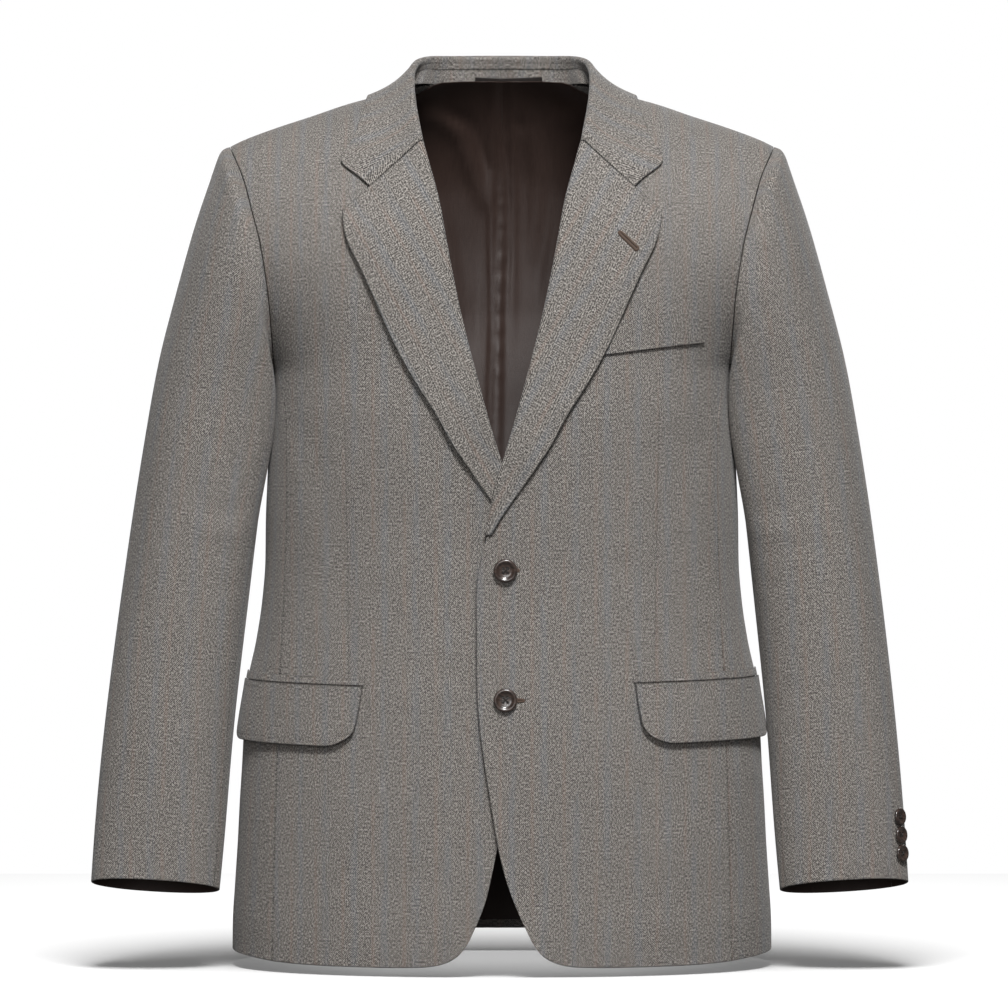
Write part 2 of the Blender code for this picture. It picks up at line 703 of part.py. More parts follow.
# ---------------------------------------------------------------- lapels and collar
def rolled_path(width, radius, lift, inside, start):
    """Section across a lapel as (distance from the fold, height over the body), middle of the wall.

    It comes from `inside` under the front, or from the angle `start` of the roll where nothing
    turns in, and goes over the fold and out to the lapel's edge.
    """
    centre, mid = radius * 0.55, -CLOTH / 2
    turn = np.radians(np.linspace(start, 90, 5))
    arc = np.column_stack([centre - radius * np.cos(turn), mid + radius * np.sin(turn)])
    inward = np.array((-np.sin(turn[0]), -np.cos(turn[0])))
    tail = [arc[0] + inward * inside * k for k in (1, 0.5)]
    out = np.array(ACROSS_LEAF)
    top = arc[-1][1]
    leaf = np.column_stack([centre + (width - centre) * out, top + (lift - top) * out**1.5])
    return np.concatenate([tail, arc, leaf])


def lapel_rows(side):
    """The middle of the lapel's wall as a grid on the wearer's left, and the frame of its top row."""
    shares = np.linspace(0, 1, 14)
    roll = along([(x, z) for z, x in ROLL[:-1]] + [(-13.4, -391)], shares)
    outer = along([LAPEL_POINT] + [(x, z) for z, x in LAPEL_EDGE], shares)
    rows, frames = [], []
    for fold, edge in zip(roll, outer):
        width = np.linalg.norm(edge - fold)
        direction = (edge - fold) / width
        low = ease((-300 - fold[1]) / 45)
        radius = ROLL_RADIUS + (2.2 - ROLL_RADIUS) * low
        lift = LAPEL_LIFT + ((1.4 if side == "right" else 2.2) - LAPEL_LIFT) * low
        inside, start = 13.0, -90.0
        if side == "left":
            inside, start = 13.0 + (0.3 - 13.0) * low, -90 + 115 * low
        path = rolled_path(width, radius, lift, inside, start)
        flat = fold + direction * path[:, :1]
        x, z = flat[:, 0], flat[:, 1]
        out, back = lap(x if side == "left" else -x, z)
        height = path[:, 1] + (out if side == "left" else -back)
        normal = body_normal(x, z, "front")
        rows.append(body_point(x, z, "front") + normal * height[:, None])
        frames.append((fold, direction, radius))
    return np.array(rows), frames[0]


def thick(mid, thickness, towards):
    """Outer and inner grids of a wall about its middle; `towards` points out at the grid's centre."""
    normals = grid_normals(mid)
    if np.sum(normals[len(mid) // 2, -2] * towards) < 0:
        normals = -normals
    return mid + normals * thickness / 2, mid - normals * thickness / 2


def add_wall(name, mid, thickness, towards, kind="suiting"):
    points, faces = wall(*thick(mid, thickness, towards))
    return add_mesh(name, points, faces, kind)


def build_lapels():
    for side in ("left", "right"):
        mid, _ = lapel_rows(side)
        if side == "right":
            mid = mirrored(mid)[:, ::-1]
        add_wall(f"lapel_{side}", mid, CLOTH, (0, -1, 0))


def body_tree():
    """The body's outer surface on the wearer's left, for keeping the collar clear of it."""
    x = np.concatenate([np.linspace(-60, 72, 12), np.linspace(76, 200, 32)])
    down = 200 * (1 - np.cos(np.linspace(0, 1, 36) * math.pi / 2))
    verts, faces = [], []
    for side in ("front", "back"):
        z = through(SHOULDER, np.abs(x))[:, 0][None, :] - down[:, None]
        points = body_point(np.broadcast_to(x, z.shape), z, side)
        start = len(verts)
        verts += [tuple(p) for p in points.reshape(-1, 3)]
        cols = len(x)
        for i in range(len(down) - 1):
            for j in range(cols - 1):
                a = start + i * cols + j
                quad = (a, a + 1, a + cols + 1, a + cols)
                faces.append(quad[::-1] if side == "front" else quad)
    return BVHTree.FromPolygons(verts, faces)


def kept_clear(points, tree, least):
    """Points moved out where they come nearer the body than `least`."""
    moved = points.copy()
    for i, point in enumerate(points):
        spot, normal, _, _ = tree.find_nearest(Vector(point))
        away = Vector(point) - spot
        inside = -1 if away.dot(normal) < 0 else 1
        distance = away.length * inside
        if distance < least:
            moved[i] = np.array(spot + normal * least)
    return moved


def unit(v):
    return v / np.linalg.norm(v)


def seated(side, x, z, height):
    """A point over the body, on its front, its back or the ridge between them."""
    x, z = np.array(float(x)), np.array(float(z))
    if side == "ridge":
        ridge = through(SHOULDER, x)
        return np.array([x, ridge[1], ridge[0]]) + ridge_normal(x) * height
    return body_point(x, z, side) + body_normal(x, z, side) * height


def collar_rows():
    """Middle of the fall's wall and of the stand's, as grids from the centre back to the gorge."""
    fold = np.array([row[:3] for row in COLLAR], float)
    leaf = []
    neck = []
    for row in COLLAR:
        leaf.append(seated(*row[3:6], LEAF_LIFT))
        neck.append(seated(*row[6:9], -CLOTH / 2))
    leaf, neck = np.array(leaf), np.array(neck)
    ahead = np.concatenate([fold[1:2] * (-1, 1, 1), fold])
    tangent = np.gradient(ahead, axis=0)[1:]
    tree = body_tree()
    fall, stand = [], []
    for row, (f, e, g, t) in enumerate(zip(fold, leaf, neck, tangent)):
        crest = -unit(unit(e - f) + unit(g - f))
        outward = np.cross(unit(t), crest)
        if np.dot(outward, (f[0], f[1] + 10, 0.0)) < 0:
            outward = -outward
        outward = unit(outward)
        radius = 2.2 + 0.8 * float(ease((row - 8) / 5))
        centre = f - crest * radius
        turn = np.radians(np.linspace(-90, 90, 5))
        arc = centre + radius * (np.sin(turn)[:, None] * outward + np.cos(turn)[:, None] * crest)
        depth = min(FALL_INSIDE, np.linalg.norm(g - arc[0]) - 3.5)
        down = unit(g - arc[0]) * 0.5 - crest * 0.5
        tail = [arc[0] + unit(down) * depth * k for k in (1, 0.5)]
        a = arc[-1]
        bend = a - crest * 0.42 * np.linalg.norm(e - a)
        s = np.array(ACROSS_LEAF)[:, None]
        out = (1 - s) ** 2 * a + 2 * s * (1 - s) * bend + s * s * e
        out = kept_clear(out, tree, CLOTH / 2 + 1.0)
        fall.append(np.concatenate([tail, arc, out]))
        round_front = float(ease((row - 4) / 4))
        top = tail[0] + unit(tail[0] - tail[1]) * (0.5 + 1.3 * round_front)
        foot = g + unit(top - g) * (0.8 + 3.6 * round_front)
        stand.append([top + (foot - top) * k for k in (0, 0.33, 0.67, 1)])
    return np.array(fall), np.array(stand)


def both_sides(half):
    """Rows on the wearer's left, joined at the centre back to their mirror."""
    return np.concatenate([(half * np.array([-1.0, 1.0, 1.0]))[:0:-1], half])


def build_collar():
    fall, stand = collar_rows()
    _, (corner, direction, radius) = lapel_rows("left")
    length = np.linalg.norm(np.array(NOTCH) - corner)
    path = rolled_path(length, radius, 2.6, 2.5, -90)
    up = np.array([-direction[1], direction[0]]) * GORGE_GAP
    flat = corner + up + direction * path[:, :1]
    x, z = flat[:, 0], flat[:, 1]
    height = path[:, 1:] + 0.5 * ease((path[:, 1:] + 0.9) / 2.5)
    last = body_point(x, z, "front") + body_normal(x, z, "front") * height
    fall = np.concatenate([fall, last[None]])
    add_wall("collar", both_sides(fall), CLOTH, (1, 0, 0.2))
    add_wall("collar_stand", both_sides(stand[:11]), CLOTH, (0, 1, 0))


# ---------------------------------------------------------------- pockets
def flap_angles(length_of, front_x):
    """Turns round the body for distances from the pocket's front end, and the pocket's length."""
    z = np.array(-545.0)
    start = math.atan2(front_x, -float(body_y(front_x, z, "front")))
    turns = np.linspace(start - 0.1, math.radians(FLAP_REAR_ANGLE + 4), 300)
    points = ring_point(turns, np.full(300, -545.0))
    length = np.concatenate([[0], np.cumsum(np.linalg.norm(np.diff(points, axis=0), axis=1))])
    length -= np.interp(start, turns, length)
    total = float(np.interp(math.radians(FLAP_REAR_ANGLE), turns, length))
    return np.interp(length_of, length, turns), total


def pocket_line(table, total, count):
    points = [(d if d >= 0 and k == "from_front" else total + d, z) for (d, z), k in table]
    return along(points, np.linspace(0, 1, count))


def from_ends(table, rear=False):
    """Distances below zero, and all of the rear end's, are from the pocket's rear end."""
    return [((d, z), "from_rear" if rear or d < 0 else "from_front") for d, z in table]


def build_hip_pocket(side):
    front_x, drop = FLAP_FRONT_X[side], POCKET_DROP[side]
    _, total = flap_angles(0.0, front_x)
    front = pocket_line(from_ends(FLAP_FRONT_END), total, 7)
    rear = pocket_line(from_ends(FLAP_REAR_END, rear=True), total, 7)
    hem = pocket_line(from_ends(FLAP_HEM), total, 12)
    top = along([(0, POCKET_FRONT_Z), (total, POCKET_REAR_Z)], np.linspace(0, 1, 12))
    flat = coons(hem, top, front, rear)
    angle, _ = flap_angles(flat[..., 0], front_x)
    z = flat[..., 1] - drop
    lift = FLAP_LIFT_TOP + (FLAP_LIFT_HEM - FLAP_LIFT_TOP) * np.clip((-520 - z) / 50, 0, 1)
    normal = ring_normal(angle, z)
    flap = ring_point(angle, z) + normal * (lift + FLAP_WALL)[..., None]
    distance = np.linspace(-1.5, total + 1.5, 12)
    angle, _ = flap_angles(np.broadcast_to(distance, (3, 12)), front_x)
    base = POCKET_FRONT_Z + (POCKET_REAR_Z - POCKET_FRONT_Z) * distance / total + 0.5
    z = base[None, :] + np.array((0, JET_TALL / 2, JET_TALL))[:, None] - drop
    jet_normal = ring_normal(angle, z)
    jet = ring_point(angle, z) + jet_normal * (0.35 + JET_WALL)
    if side == "right":
        flap, normal, jet, jet_normal = (mirrored(grid) for grid in (flap, normal, jet, jet_normal))
    add_cloth(f"pocket_flap_{side}", flap, FLAP_WALL, normals=normal)
    add_cloth(f"pocket_jet_{side}", jet, JET_WALL, normals=jet_normal)


def build_pockets():
    for side in ("left", "right"):
        build_hip_pocket(side)
    upper = along([WELT[0], WELT[1]], np.linspace(0, 1, 8))
    lower = along([WELT[3], WELT[2]], np.linspace(0, 1, 8))
    flat = np.array([lower + (upper - lower) * k for k in (0, 0.33, 0.67, 1)])
    normal = body_normal(flat[..., 0], flat[..., 1], "front")
    welt = body_point(flat[..., 0], flat[..., 1], "front") + normal * (1.1 + CLOTH)
    add_cloth("chest_welt", welt, CLOTH, normals=normal)


# ---------------------------------------------------------------- buttons
def button_cutter(name, diameter, height, place, sides):
    """Four thread holes as one cutter."""
    points, faces = [], []
    spread, hole = diameter * 0.088, diameter * 0.047
    for sx, sy in ((1, 1), (-1, 1), (-1, -1), (1, -1)):
        start = len(points)
        for h in (-1.0, height + 1.0):
            for k in range(sides):
                turn = 2 * math.pi * k / sides
                x, y = sx * spread + hole * math.cos(turn), sy * spread + hole * math.sin(turn)
                points.append((x, y, h))
        for k in range(sides):
            m = (k + 1) % sides
            faces.append((start + k, start + m, start + sides + m, start + sides + k))
        faces.append(tuple(start + k for k in range(sides))[::-1])
        faces.append(tuple(start + sides + k for k in range(sides)))
    mesh = bpy.data.meshes.new(name)
    mesh.from_pydata([tuple(p) for p in place(np.array(points)) * MM], [], faces)
    obj = bpy.data.objects.new(name, mesh)
    bpy.data.collections["cutters"].objects.link(obj)
    obj.display_type = "WIRE"
    obj.hide_render = True
    return obj


def add_button(name, centre, normal, up, diameter, height, segments, sides):
    """A horn button turned from its profile, dished inside a rim, with four holes."""
    radius = diameter / 2
    profile = (
        (0.62 * radius, 0.0),
        (0.96 * radius, 0.3 * height),
        (radius, 0.6 * height),
        (0.95 * radius, 0.9 * height),
        (0.85 * radius, height),
        (0.72 * radius, 0.93 * height),
        (0.6 * radius, 0.72 * height),
    )
    normal = unit(np.array(normal, float))
    up = unit(np.array(up, float) - normal * np.dot(up, normal))
    across = np.cross(up, normal)

    def place(points):
        return np.array(centre) + points[:, :1] * across + points[:, 1:2] * up + points[:, 2:] * normal

    points = [
        (r * math.cos(2 * math.pi * k / segments), r * math.sin(2 * math.pi * k / segments), h)
        for r, h in profile
        for k in range(segments)
    ]
    faces = []
    for i in range(len(profile) - 1):
        for k in range(segments):
            m = (k + 1) % segments
            a, b = i * segments, (i + 1) * segments
            faces.append((a + k, a + m, b + m, b + k))
    faces.append(tuple(range(segments))[::-1])
    faces.append(tuple((len(profile) - 1) * segments + k for k in range(segments)))
    obj = add_mesh(name, place(np.array(points)), faces, "horn")
    holes = obj.modifiers.new("thread_holes", "BOOLEAN")
    holes.operation = "DIFFERENCE"
    holes.solver = "EXACT"
    holes.object = button_cutter(f"{name}_holes", diameter, height, place, sides)


def sleeve_surface(turn, level):
    """A point of the left sleeve's outer surface; level counts the rows of SLEEVE."""
    return sleeve_ring(turn, through([(k, *row) for k, row in enumerate(SLEEVE)], level))


def build_buttons():
    for name, z in BUTTON_HEIGHTS:
        x, z = np.array(BUTTON_X), np.array(float(z))
        out, _ = lap(x, z)
        normal = body_normal(x, z, "front")
        centre = body_point(x, z, "front") + normal * (out + 0.9)
        add_button(
            f"front_button_{name}", centre, normal, (0, 0, 1), BUTTON_DIAMETER, BUTTON_THICK, 22, 8
        )
    for side in ("left", "right"):
        turn = CUFF_BUTTON_TURN[side]
        turned = np.array([1 if side == "left" else -1, 1, 1])
        levels = np.linspace(len(SLEEVE) - 4, len(SLEEVE) - 1, 400)
        heights = np.array([sleeve_surface(turn, level)[2] for level in levels])
        for k, z in enumerate(CUFF_BUTTON_HEIGHTS):
            level = float(np.interp(-z, -heights, levels))
            here = sleeve_surface(turn, level)
            along_sleeve = sleeve_surface(turn, level - 0.05) - here
            around = sleeve_surface(turn + 0.02, level) - sleeve_surface(turn - 0.02, level)
            normal = unit(np.cross(around, along_sleeve))
            if normal[0] < 0:
                normal = -normal
            centre = here + normal * 0.9
            add_button(
                f"cuff_button_{side}_{k + 1}", swung(centre, side) * turned, normal * turned,
                along_sleeve * turned, CUFF_BUTTON_DIAMETER, CUFF_BUTTON_THICK, 14, 5,
            )


# ---------------------------------------------------------------- lining and hanger loop
def lining_depth(x, z):
    """How far the back lining hangs in from the back's inner face: its pleat and its drape."""
    pleat = 3.2 * np.exp(-(((x + 9) / 6.0) ** 2)) * ease((z + 420) / 160)
    fold = 2.2 * np.exp(-(((x - 9) / 6.0) ** 2)) * ease((z + 250) / 120)
    drape = 1.5 * (1 + np.sin(z / 47.0 + x / 38.0)) * ease((20 - z) / 60) * ease((z + 730) / 60)
    vent_room = 3.6 * ease((52 - np.abs(x - 6)) / 14) * ease((-470 - z) / 30)
    shoulder_room = 3.0 * ease((np.abs(x) - 45) / 25) * ease((z + 25) / 25)
    return 2.4 + pleat + fold + drape + vent_room + shoulder_room


def build_lining():
    half_x = np.array((0, 5, 10, 16, 38, 72, 106, 138, 163))
    spread = np.concatenate([-half_x[:0:-1], half_x])
    rows = []
    for z in (-746.5, -690, -635, -580, -525, -480, -435, -390, -345, -300, -262):
        edge = min(float(seam_x(z, 1)) - 7, 168.0)
        rows.append([(x * edge / 163 if abs(x) > 16 else x, z) for x in spread])
    table = [(row[0], row[2]) for row in ARMHOLE]
    for k in (0.17, 0.34, 0.51, 0.66, 0.79, 0.9, 1.0):
        line = []
        for x in spread:
            spread_out = abs(x) * 1.35
            top = float(through(NECK, min(spread_out, 82))[0]) - 1.5
            if spread_out > 82:
                top = float(through(SHOULDER, spread_out)[0]) - 7.5
            z = -262 + (top + 262) * k
            under_arm = 22 * float(ease((-125 - z) / 80))
            edge = float(through(table, max(z, SEAM_TOP))[0]) - 6 - under_arm
            wide = x * edge / 163 if abs(x) > 16 else x
            line.append((wide, z))
        rows.append(line)
    flat = np.array(rows, float)
    x, z = flat[..., 0], flat[..., 1]
    top = through(SHOULDER, np.abs(x))[..., 0]
    z = np.minimum(z, top - 7.0)
    normal = body_normal(x, z, "back")
    outer = body_point(x, z, "back") - normal * (CLOTH + lining_depth(x, z))[..., None]
    outer, normal = outer[:, ::-1], normal[:, ::-1]
    add_cloth("back_lining", outer, LINING_WALL, kind="lining", normals=normal)


def build_hanger_loop(stand):
    """A flat tape across the foot of the stand, standing off it between its ends."""
    shares = np.linspace(0, 1, 9)
    x = -24.5 + 61 * shares
    foot = stand[:, 2]
    y = np.interp(np.abs(x), foot[:, 0], foot[:, 1]) - CLOTH / 2 - 1.1
    bow = 2.4 * np.sin(math.pi * shares)
    sag = 0.8 * np.sin(math.pi * shares)
    rows = [
        np.column_stack([x, y + lean - bow - 0.6, z - sag])
        for z, lean in ((19.2, 1.2), (21.7, 0.2), (24.4, -0.6))
    ]
    grid = np.array(rows)[:, ::-1]
    add_cloth("hanger_loop", grid, 1.0, kind="lining")


def build():
    for obj in list(bpy.data.objects):
        bpy.data.objects.remove(obj)
    for name in ("suit_jacket", "cutters"):
        collection = bpy.data.collections.new(name)
        bpy.context.scene.collection.children.link(collection)
    bpy.data.collections["cutters"].hide_render = True
    build_fronts()
    build_backs()
    side = build_sides()
    build_sleeves(side[-1])
    build_lapels()
    build_collar()
    build_pockets()
    build_buttons()
    build_lining()
    build_hanger_loop(collar_rows()[1])


build()
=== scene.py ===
"""Wool suit jacket, worn and hollow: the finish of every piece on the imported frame.

Positions are worked out in millimetres and meshes are written in metres. +Z is up, the front faces
-Y and +X is the wearer's left. The cut of every piece is the one of the part's own source.
"""

import math

import bpy
import numpy as np
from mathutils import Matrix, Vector
from mathutils.bvhtree import BVHTree


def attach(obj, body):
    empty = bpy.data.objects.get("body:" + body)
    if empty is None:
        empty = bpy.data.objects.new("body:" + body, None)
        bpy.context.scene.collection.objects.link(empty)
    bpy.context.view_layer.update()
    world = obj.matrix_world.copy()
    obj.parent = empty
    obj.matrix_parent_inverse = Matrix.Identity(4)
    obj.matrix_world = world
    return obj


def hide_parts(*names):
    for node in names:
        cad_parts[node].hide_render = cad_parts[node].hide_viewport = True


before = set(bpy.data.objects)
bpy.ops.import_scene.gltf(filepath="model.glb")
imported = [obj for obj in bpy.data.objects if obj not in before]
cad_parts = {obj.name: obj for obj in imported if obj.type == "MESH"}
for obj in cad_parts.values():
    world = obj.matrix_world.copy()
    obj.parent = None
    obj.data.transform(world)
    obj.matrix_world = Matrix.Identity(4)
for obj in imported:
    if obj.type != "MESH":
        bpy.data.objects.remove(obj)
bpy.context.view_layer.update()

MM = 0.001
CLOTH = 1.8  # wall of one layer of suiting with its interfacing
LINING_WALL = 1.0
SEAM = 0.2  # each side's half of the gap at a seam
LAP_OUT = 1.0  # the left front stands out where the fronts lap
LAP_IN = 1.7  # and the right front stands in

# Horizontal sections of the body, hem to shoulder. Above the armhole the half width is the one the
# front and back panels would have without the armhole cut away.
#   z, half_width, front_depth, back_depth, squareness
BODY = (
    (-790, 241.8, 127, 121, 2.25), (-737, 241.3, 127, 121, 2.25), (-701, 239.1, 126, 120, 2.25),
    (-665, 236.8, 126, 118, 2.25), (-629, 235.0, 125, 116, 2.25), (-594, 232.8, 124, 113, 2.25),
    (-558, 231.0, 123, 109, 2.25), (-522, 227.8, 122, 105, 2.25), (-486, 220.3, 121, 101, 2.25),
    (-450, 214.9, 121, 98, 2.25), (-414, 212.1, 122, 97, 2.25), (-378, 211.7, 124, 100, 2.25),
    (-345, 210.4, 127, 106, 2.25), (-310, 208.8, 130, 114, 2.25), (-280, 206.8, 132, 120, 2.3),
    (-246, 205.0, 132, 125, 2.3), (-232, 210.5, 131, 127, 2.3), (-210, 222.0, 130, 130, 2.3),
    (-184, 240.0, 128, 132, 2.3), (-158, 258.0, 125, 132, 2.3), (-132, 276.0, 121, 131, 2.3),
    (-100, 290.0, 115, 127, 2.3), (-40, 298.0, 105, 115, 2.3), (50, 300.0, 96, 102, 2.3),
)

# The ridge of the shoulder, from the centre out.
#   x, z, y
SHOULDER = (
    (0, 44, 14), (45, 31, 14), (82, 11, 13), (105, 4.5, 12), (138, -4.5, 10), (170, -15.5, 8),
    (203, -26.5, 6), (233, -38.0, 4), (244, -43.5, 4), (275, -60, 4),
)
FRONT_ROUNDING = 150  # height over which the front curves back to the ridge
BACK_ROUNDING = 112

# Seams seen from the front or the back: where each crosses a height.
#   z, side front seam x, side back seam x
SIDE_SEAMS = (
    (-790, 203, 184), (-620, 199, 176), (-522, 196, 169), (-440, 192.5, 165), (-343, 190, 171),
    (-300, 190.5, 175.5), (-270, 194, 184), (-240, 202.6, 198),
)
SEAM_TOP = -240  # where both side seams meet the armhole
UNDERARM = -249  # the lowest point of the armhole

# Armhole edges of front and back, from the side seam's top to the shoulder.
#   z, front x, back x
ARMHOLE = (
    (-240, 202.6, 198.0), (-228, 203.2, 200.6), (-210, 204.0, 202.6), (-184, 205.6, 204.6),
    (-158, 208.9, 208.6), (-132, 213.4, 213.0), (-109, 219.5, 218.5), (-89, 225.0, 224.5),
    (-71, 231.0, 231.0), (-57, 237.4, 237.4), (-47, 242.2, 242.2), (-43.5, 244.0, 244.0),
)

# Rows of the panels: those below the armhole, and those beside it.
LOW_HEIGHTS = (-765, -735, -700, -660, -620, -578, -535, -492, -450, -410, -372, -335, -302, -270)
HIGH_HEIGHTS = tuple(row[0] for row in ARMHOLE)

# Roll line of the lapel and its outer edge, top to the break point.
#   z, x
ROLL = (
    (-46, 71.0), (-70, 64.5), (-98, 57.0), (-133, 50.5), (-168, 44.0), (-203, 36.5), (-237, 28.0),
    (-271, 19.0), (-305, 9.5), (-339, -1.5), (-362, -7.2), (-381, -11.0), (-400, -15.6),
)
LAPEL_EDGE = (
    (-117, 140.2), (-126, 138.0), (-136, 133.4), (-160, 122.0), (-192, 107.2), (-213, 98.0),
    (-235, 87.4), (-262, 72.0), (-290, 54.5), (-309, 44.5), (-334, 28.4), (-358, 12.0),
    (-379, -2.5), (-391, -9.5),
)
LAPEL_POINT = (138.6, -110.0)
NOTCH = (115.5, -87.2)

# Front edges below the break point and round the cutaway; the wearer's left front laps on top.
#   z, left front's edge x, right front's edge x
FRONT_EDGE = (
    (-400, -15.6, 13.0), (-426, -21.0, 15.5), (-447, -22.2, 16.5), (-490, -22.2, 16.5),
    (-532, -21.2, 15.5), (-558, -19.6, 13.0), (-586, -15.8, 9.5), (-621, -10.8, 4.5),
    (-650, -5.4, -0.5), (-667, -2.8, -4.2), (-683, 1.4, -8.2), (-706, 8.9, -13.4),
    (-732, 18.6, -21.2), (-744, 25.5, -28.2),
)
# Hem from the rounded corner of the front to the side seam.
#   x, z
FRONT_HEM = (
    (26.0, -744.0), (31.0, -752.0), (38.5, -759.5), (49.0, -764.5), (64.0, -767.4), (100.0, -768.4),
    (150.0, -768.2), (190.0, -767.2), (203.0, -766.5),
)
HEM_FRONT, HEM_SIDE, HEM_BACK_SEAM, HEM_BACK = -766.5, -761.0, -757.0, -755.0
FRONT_COLUMNS, BACK_COLUMNS = 13, 10  # points across a front and a back before they are refined

# Neck seam from the centre back to the shoulder's neck point.
#   x, z
NECK = ((0, 20.0), (28, 19.6), (50, 18.0), (67, 15.5), (78, 12.8), (86, 9.8))
# The collar from the centre back to the gorge: its fold, its leaf's edge and the neck seam below it.
#   fold x, y, z; leaf lies on, x, z; neck seam lies on, x, z
COLLAR = (
    (0, 64, 43.4, "back", 0, -3.0, "back", 0, 20.0),
    (16, 63.3, 43.4, "back", 22, -3.0, "back", 16, 19.9),
    (32, 60.5, 43.0, "back", 45, -3.5, "back", 31, 19.5),
    (48, 54, 42.3, "back", 68, -4.5, "back", 48, 18.2),
    (60, 43.0, 41.2, "back", 88, -6.5, "back", 63, 16.3),
    (69, 28.5, 38.8, "back", 105, -8.5, "back", 76, 13.8),
    (74.3, 15, 35.4, "back", 114.5, -5.5, "back", 83, 11.3),
    (76.8, 6, 32.0, "back", 118.2, -1.0, "ridge", 86, 0),
    (78.2, -2, 28.0, "ridge", 119.4, 0, "front", 86, 8.5),
    (79.2, -11, 23.8, "front", 120.4, -2.5, "front", 85.6, 2.5),
    (79.2, -29, 11.0, "front", 122.4, -15.0, "front", 84.0, -7.0),
    (77.8, -47, -3.5, "front", 127.0, -30.0, "front", 81.6, -17.0),
    (75.8, -60.5, -16.5, "front", 134.0, -47.5, "front", 79.0, -27.0),
    (74.0, -71.0, -26.5, "front", 141.2, -63.6, "front", 77.2, -34.5),
    (72.0, -78.8, -36.5, "front", 128.5, -75.4, "front", 75.4, -41.0),
)
LEAF_LIFT = 2.4  # from the body to the middle of the leaf's wall, at its edge
LAPEL_LIFT = 4.7  # the same at the lapel's edge, above the breast pocket's welt
ROLL_RADIUS = 3.2  # of the soft roll at the fold of collar and lapels
ACROSS_LEAF = (0.08, 0.2, 0.38, 0.58, 0.79, 1.0)  # shares of the way from the fold to the edge
FALL_INSIDE = 9.0  # the collar's cloth turns down this far inside, to the stand

# Sleeve sections below the armhole, down to the cuff. The tuck is how far the front of the sleeve
# laps over the body's side.
#   outer_x, outer_z, inner_x, inner_z, front_y, back_y, bow, tuck, pitch
SLEEVE = (
    (250.5, -46.5, 206.6, -249, -83, 94, -11, 0, 0),
    (256.3, -58, 208.6, -256, -85, 95, -8, 3, 0),
    (262.0, -75, 210.0, -265, -84, 94, -5, 7, 0),
    (271.5, -103, 211.3, -277, -81, 90, -2, 12, 0),
    (282.3, -139, 212.4, -292, -76, 84, 0, 15, 0),
    (294.5, -184, 213.2, -311, -71, 77, 0, 15, 0),
    (306.2, -230, 214.2, -334, -67, 70, 0, 12, 0),
    (316.6, -285, 216.6, -361, -64, 64, 0, 8, 0.02),
    (326.3, -345, 220.6, -396, -62, 59, 0, 4, 0.03),
    (336.2, -415, 226.0, -445, -60, 51, 0, 1, 0.055),
    (346.2, -495, 232.6, -506, -59, 39, 0, 0, 0.1),
    (354.2, -570, 238.9, -573, -60, 24, 0, 0, 0.15),
    (360.8, -650, 244.8, -654, -61, 9, 0, 0, 0.2),
    (363.8, -700.8, 249.4, -707.4, -62, -2, 0, 0, 0.26),
)
SWING = 2.0  # both cuffs hang this far to the wearer's right
SLEEVE_SQUARE = 2.15
SLEEVE_EASE = 0.7  # the part's sleeve starts this far out from the armhole
SLEEVE_GAP = 0.3  # and the dressed one this far
SLEEVE_EXTRA = 4.2  # cloth at the front of the sleeve that closes the view between it and the side
FRONT_SLEEVE_SEAM, BACK_SLEEVE_SEAM = 157, 318  # degrees round the sleeve from its outer edge

VENT_TOP = -500
VENT_UNDERLAY = 32  # the right back runs this far under the left below the vent's top

# Flap pockets at the hips. The outlines of the flap run from its front end, in millimetres along
# the body.
FLAP_FRONT_X = {"left": 116.5, "right": 122}
POCKET_DROP = {"left": -1.2, "right": 1.5}  # the right pocket sits a little lower
FLAP_REAR_ANGLE = 89  # degrees round the body, as in hem_z
MID_FLAP = -545.0  # the height at which distances along a flap are measured
FLAP_WALL = 2.4
FLAP_LIFT_TOP, FLAP_LIFT_HEM = 0.5, 2.4
JET_WALL, JET_TALL = 1.4, 7.0
POCKET_FRONT_Z, POCKET_REAR_Z = -522.0, -518.5
#   distance from the front end (negative: from the rear end), z
FLAP_FRONT_END = ((13.5, -568.5), (6.4, -562), (3.6, -553), (1.5, -538), (0, -522.0))
FLAP_HEM = (
    (13.5, -568.5), (22, -573), (36, -574.6), (70, -574), (-40, -572.6), (-16, -571), (-7, -567)
)
FLAP_REAR_END = ((-7, -567), (-2.5, -559), (-1, -543), (0, -518.5))
# Breast pocket welt: x, z of its four corners, from the one at the lapel's top.
WELT = ((97.0, -203.8), (176.0, -194.9), (177.2, -221.9), (83.5, -235.2))

BUTTON_X = 3.0
BUTTON_HEIGHTS = (("upper", -422), ("lower", -535))
BUTTON_DIAMETER, BUTTON_THICK = 20.8, 4.0
CUFF_BUTTON_DIAMETER, CUFF_BUTTON_THICK = 15.2, 3.2
# The left cuff is turned so that its buttons show from the front; the right one's lie at the back.
CUFF_BUTTON_TURN = {"left": math.radians(30.5), "right": math.radians(-36)}
CUFF_BUTTON_HEIGHTS = (-641.5, -657.7, -673.9)

COLUMN = 7.0  # width of one herringbone column
TWILL = 1.95  # distance from one twill line to the next, along the warp
STRIPE = 28.0  # repeat of the rust and the blue-grey stripes
WEAVE_LEVEL = -422  # the height of the upper button, from which the weave is counted upwards
# Colours of the wool: its dark and light yarns, light and dark flecks, rust and blue-grey stripes.
YARN_DARK, YARN_LIGHT = (0.0268, 0.0242, 0.0222), (0.452, 0.413, 0.376)
FLECK_LIGHT, FLECK_DARK = (0.56, 0.53, 0.49), (0.018, 0.0165, 0.0155)
RUST, BLUE_GREY = (0.27, 0.175, 0.135), (0.155, 0.19, 0.235)
PRICK_SPACING = 6.0  # from one prick stitch to the next
RUN_SPACING, RUN_LENGTH, RUN_HEIGHT = 6.4, 4.2, 33.2  # of the running stitches on the stand

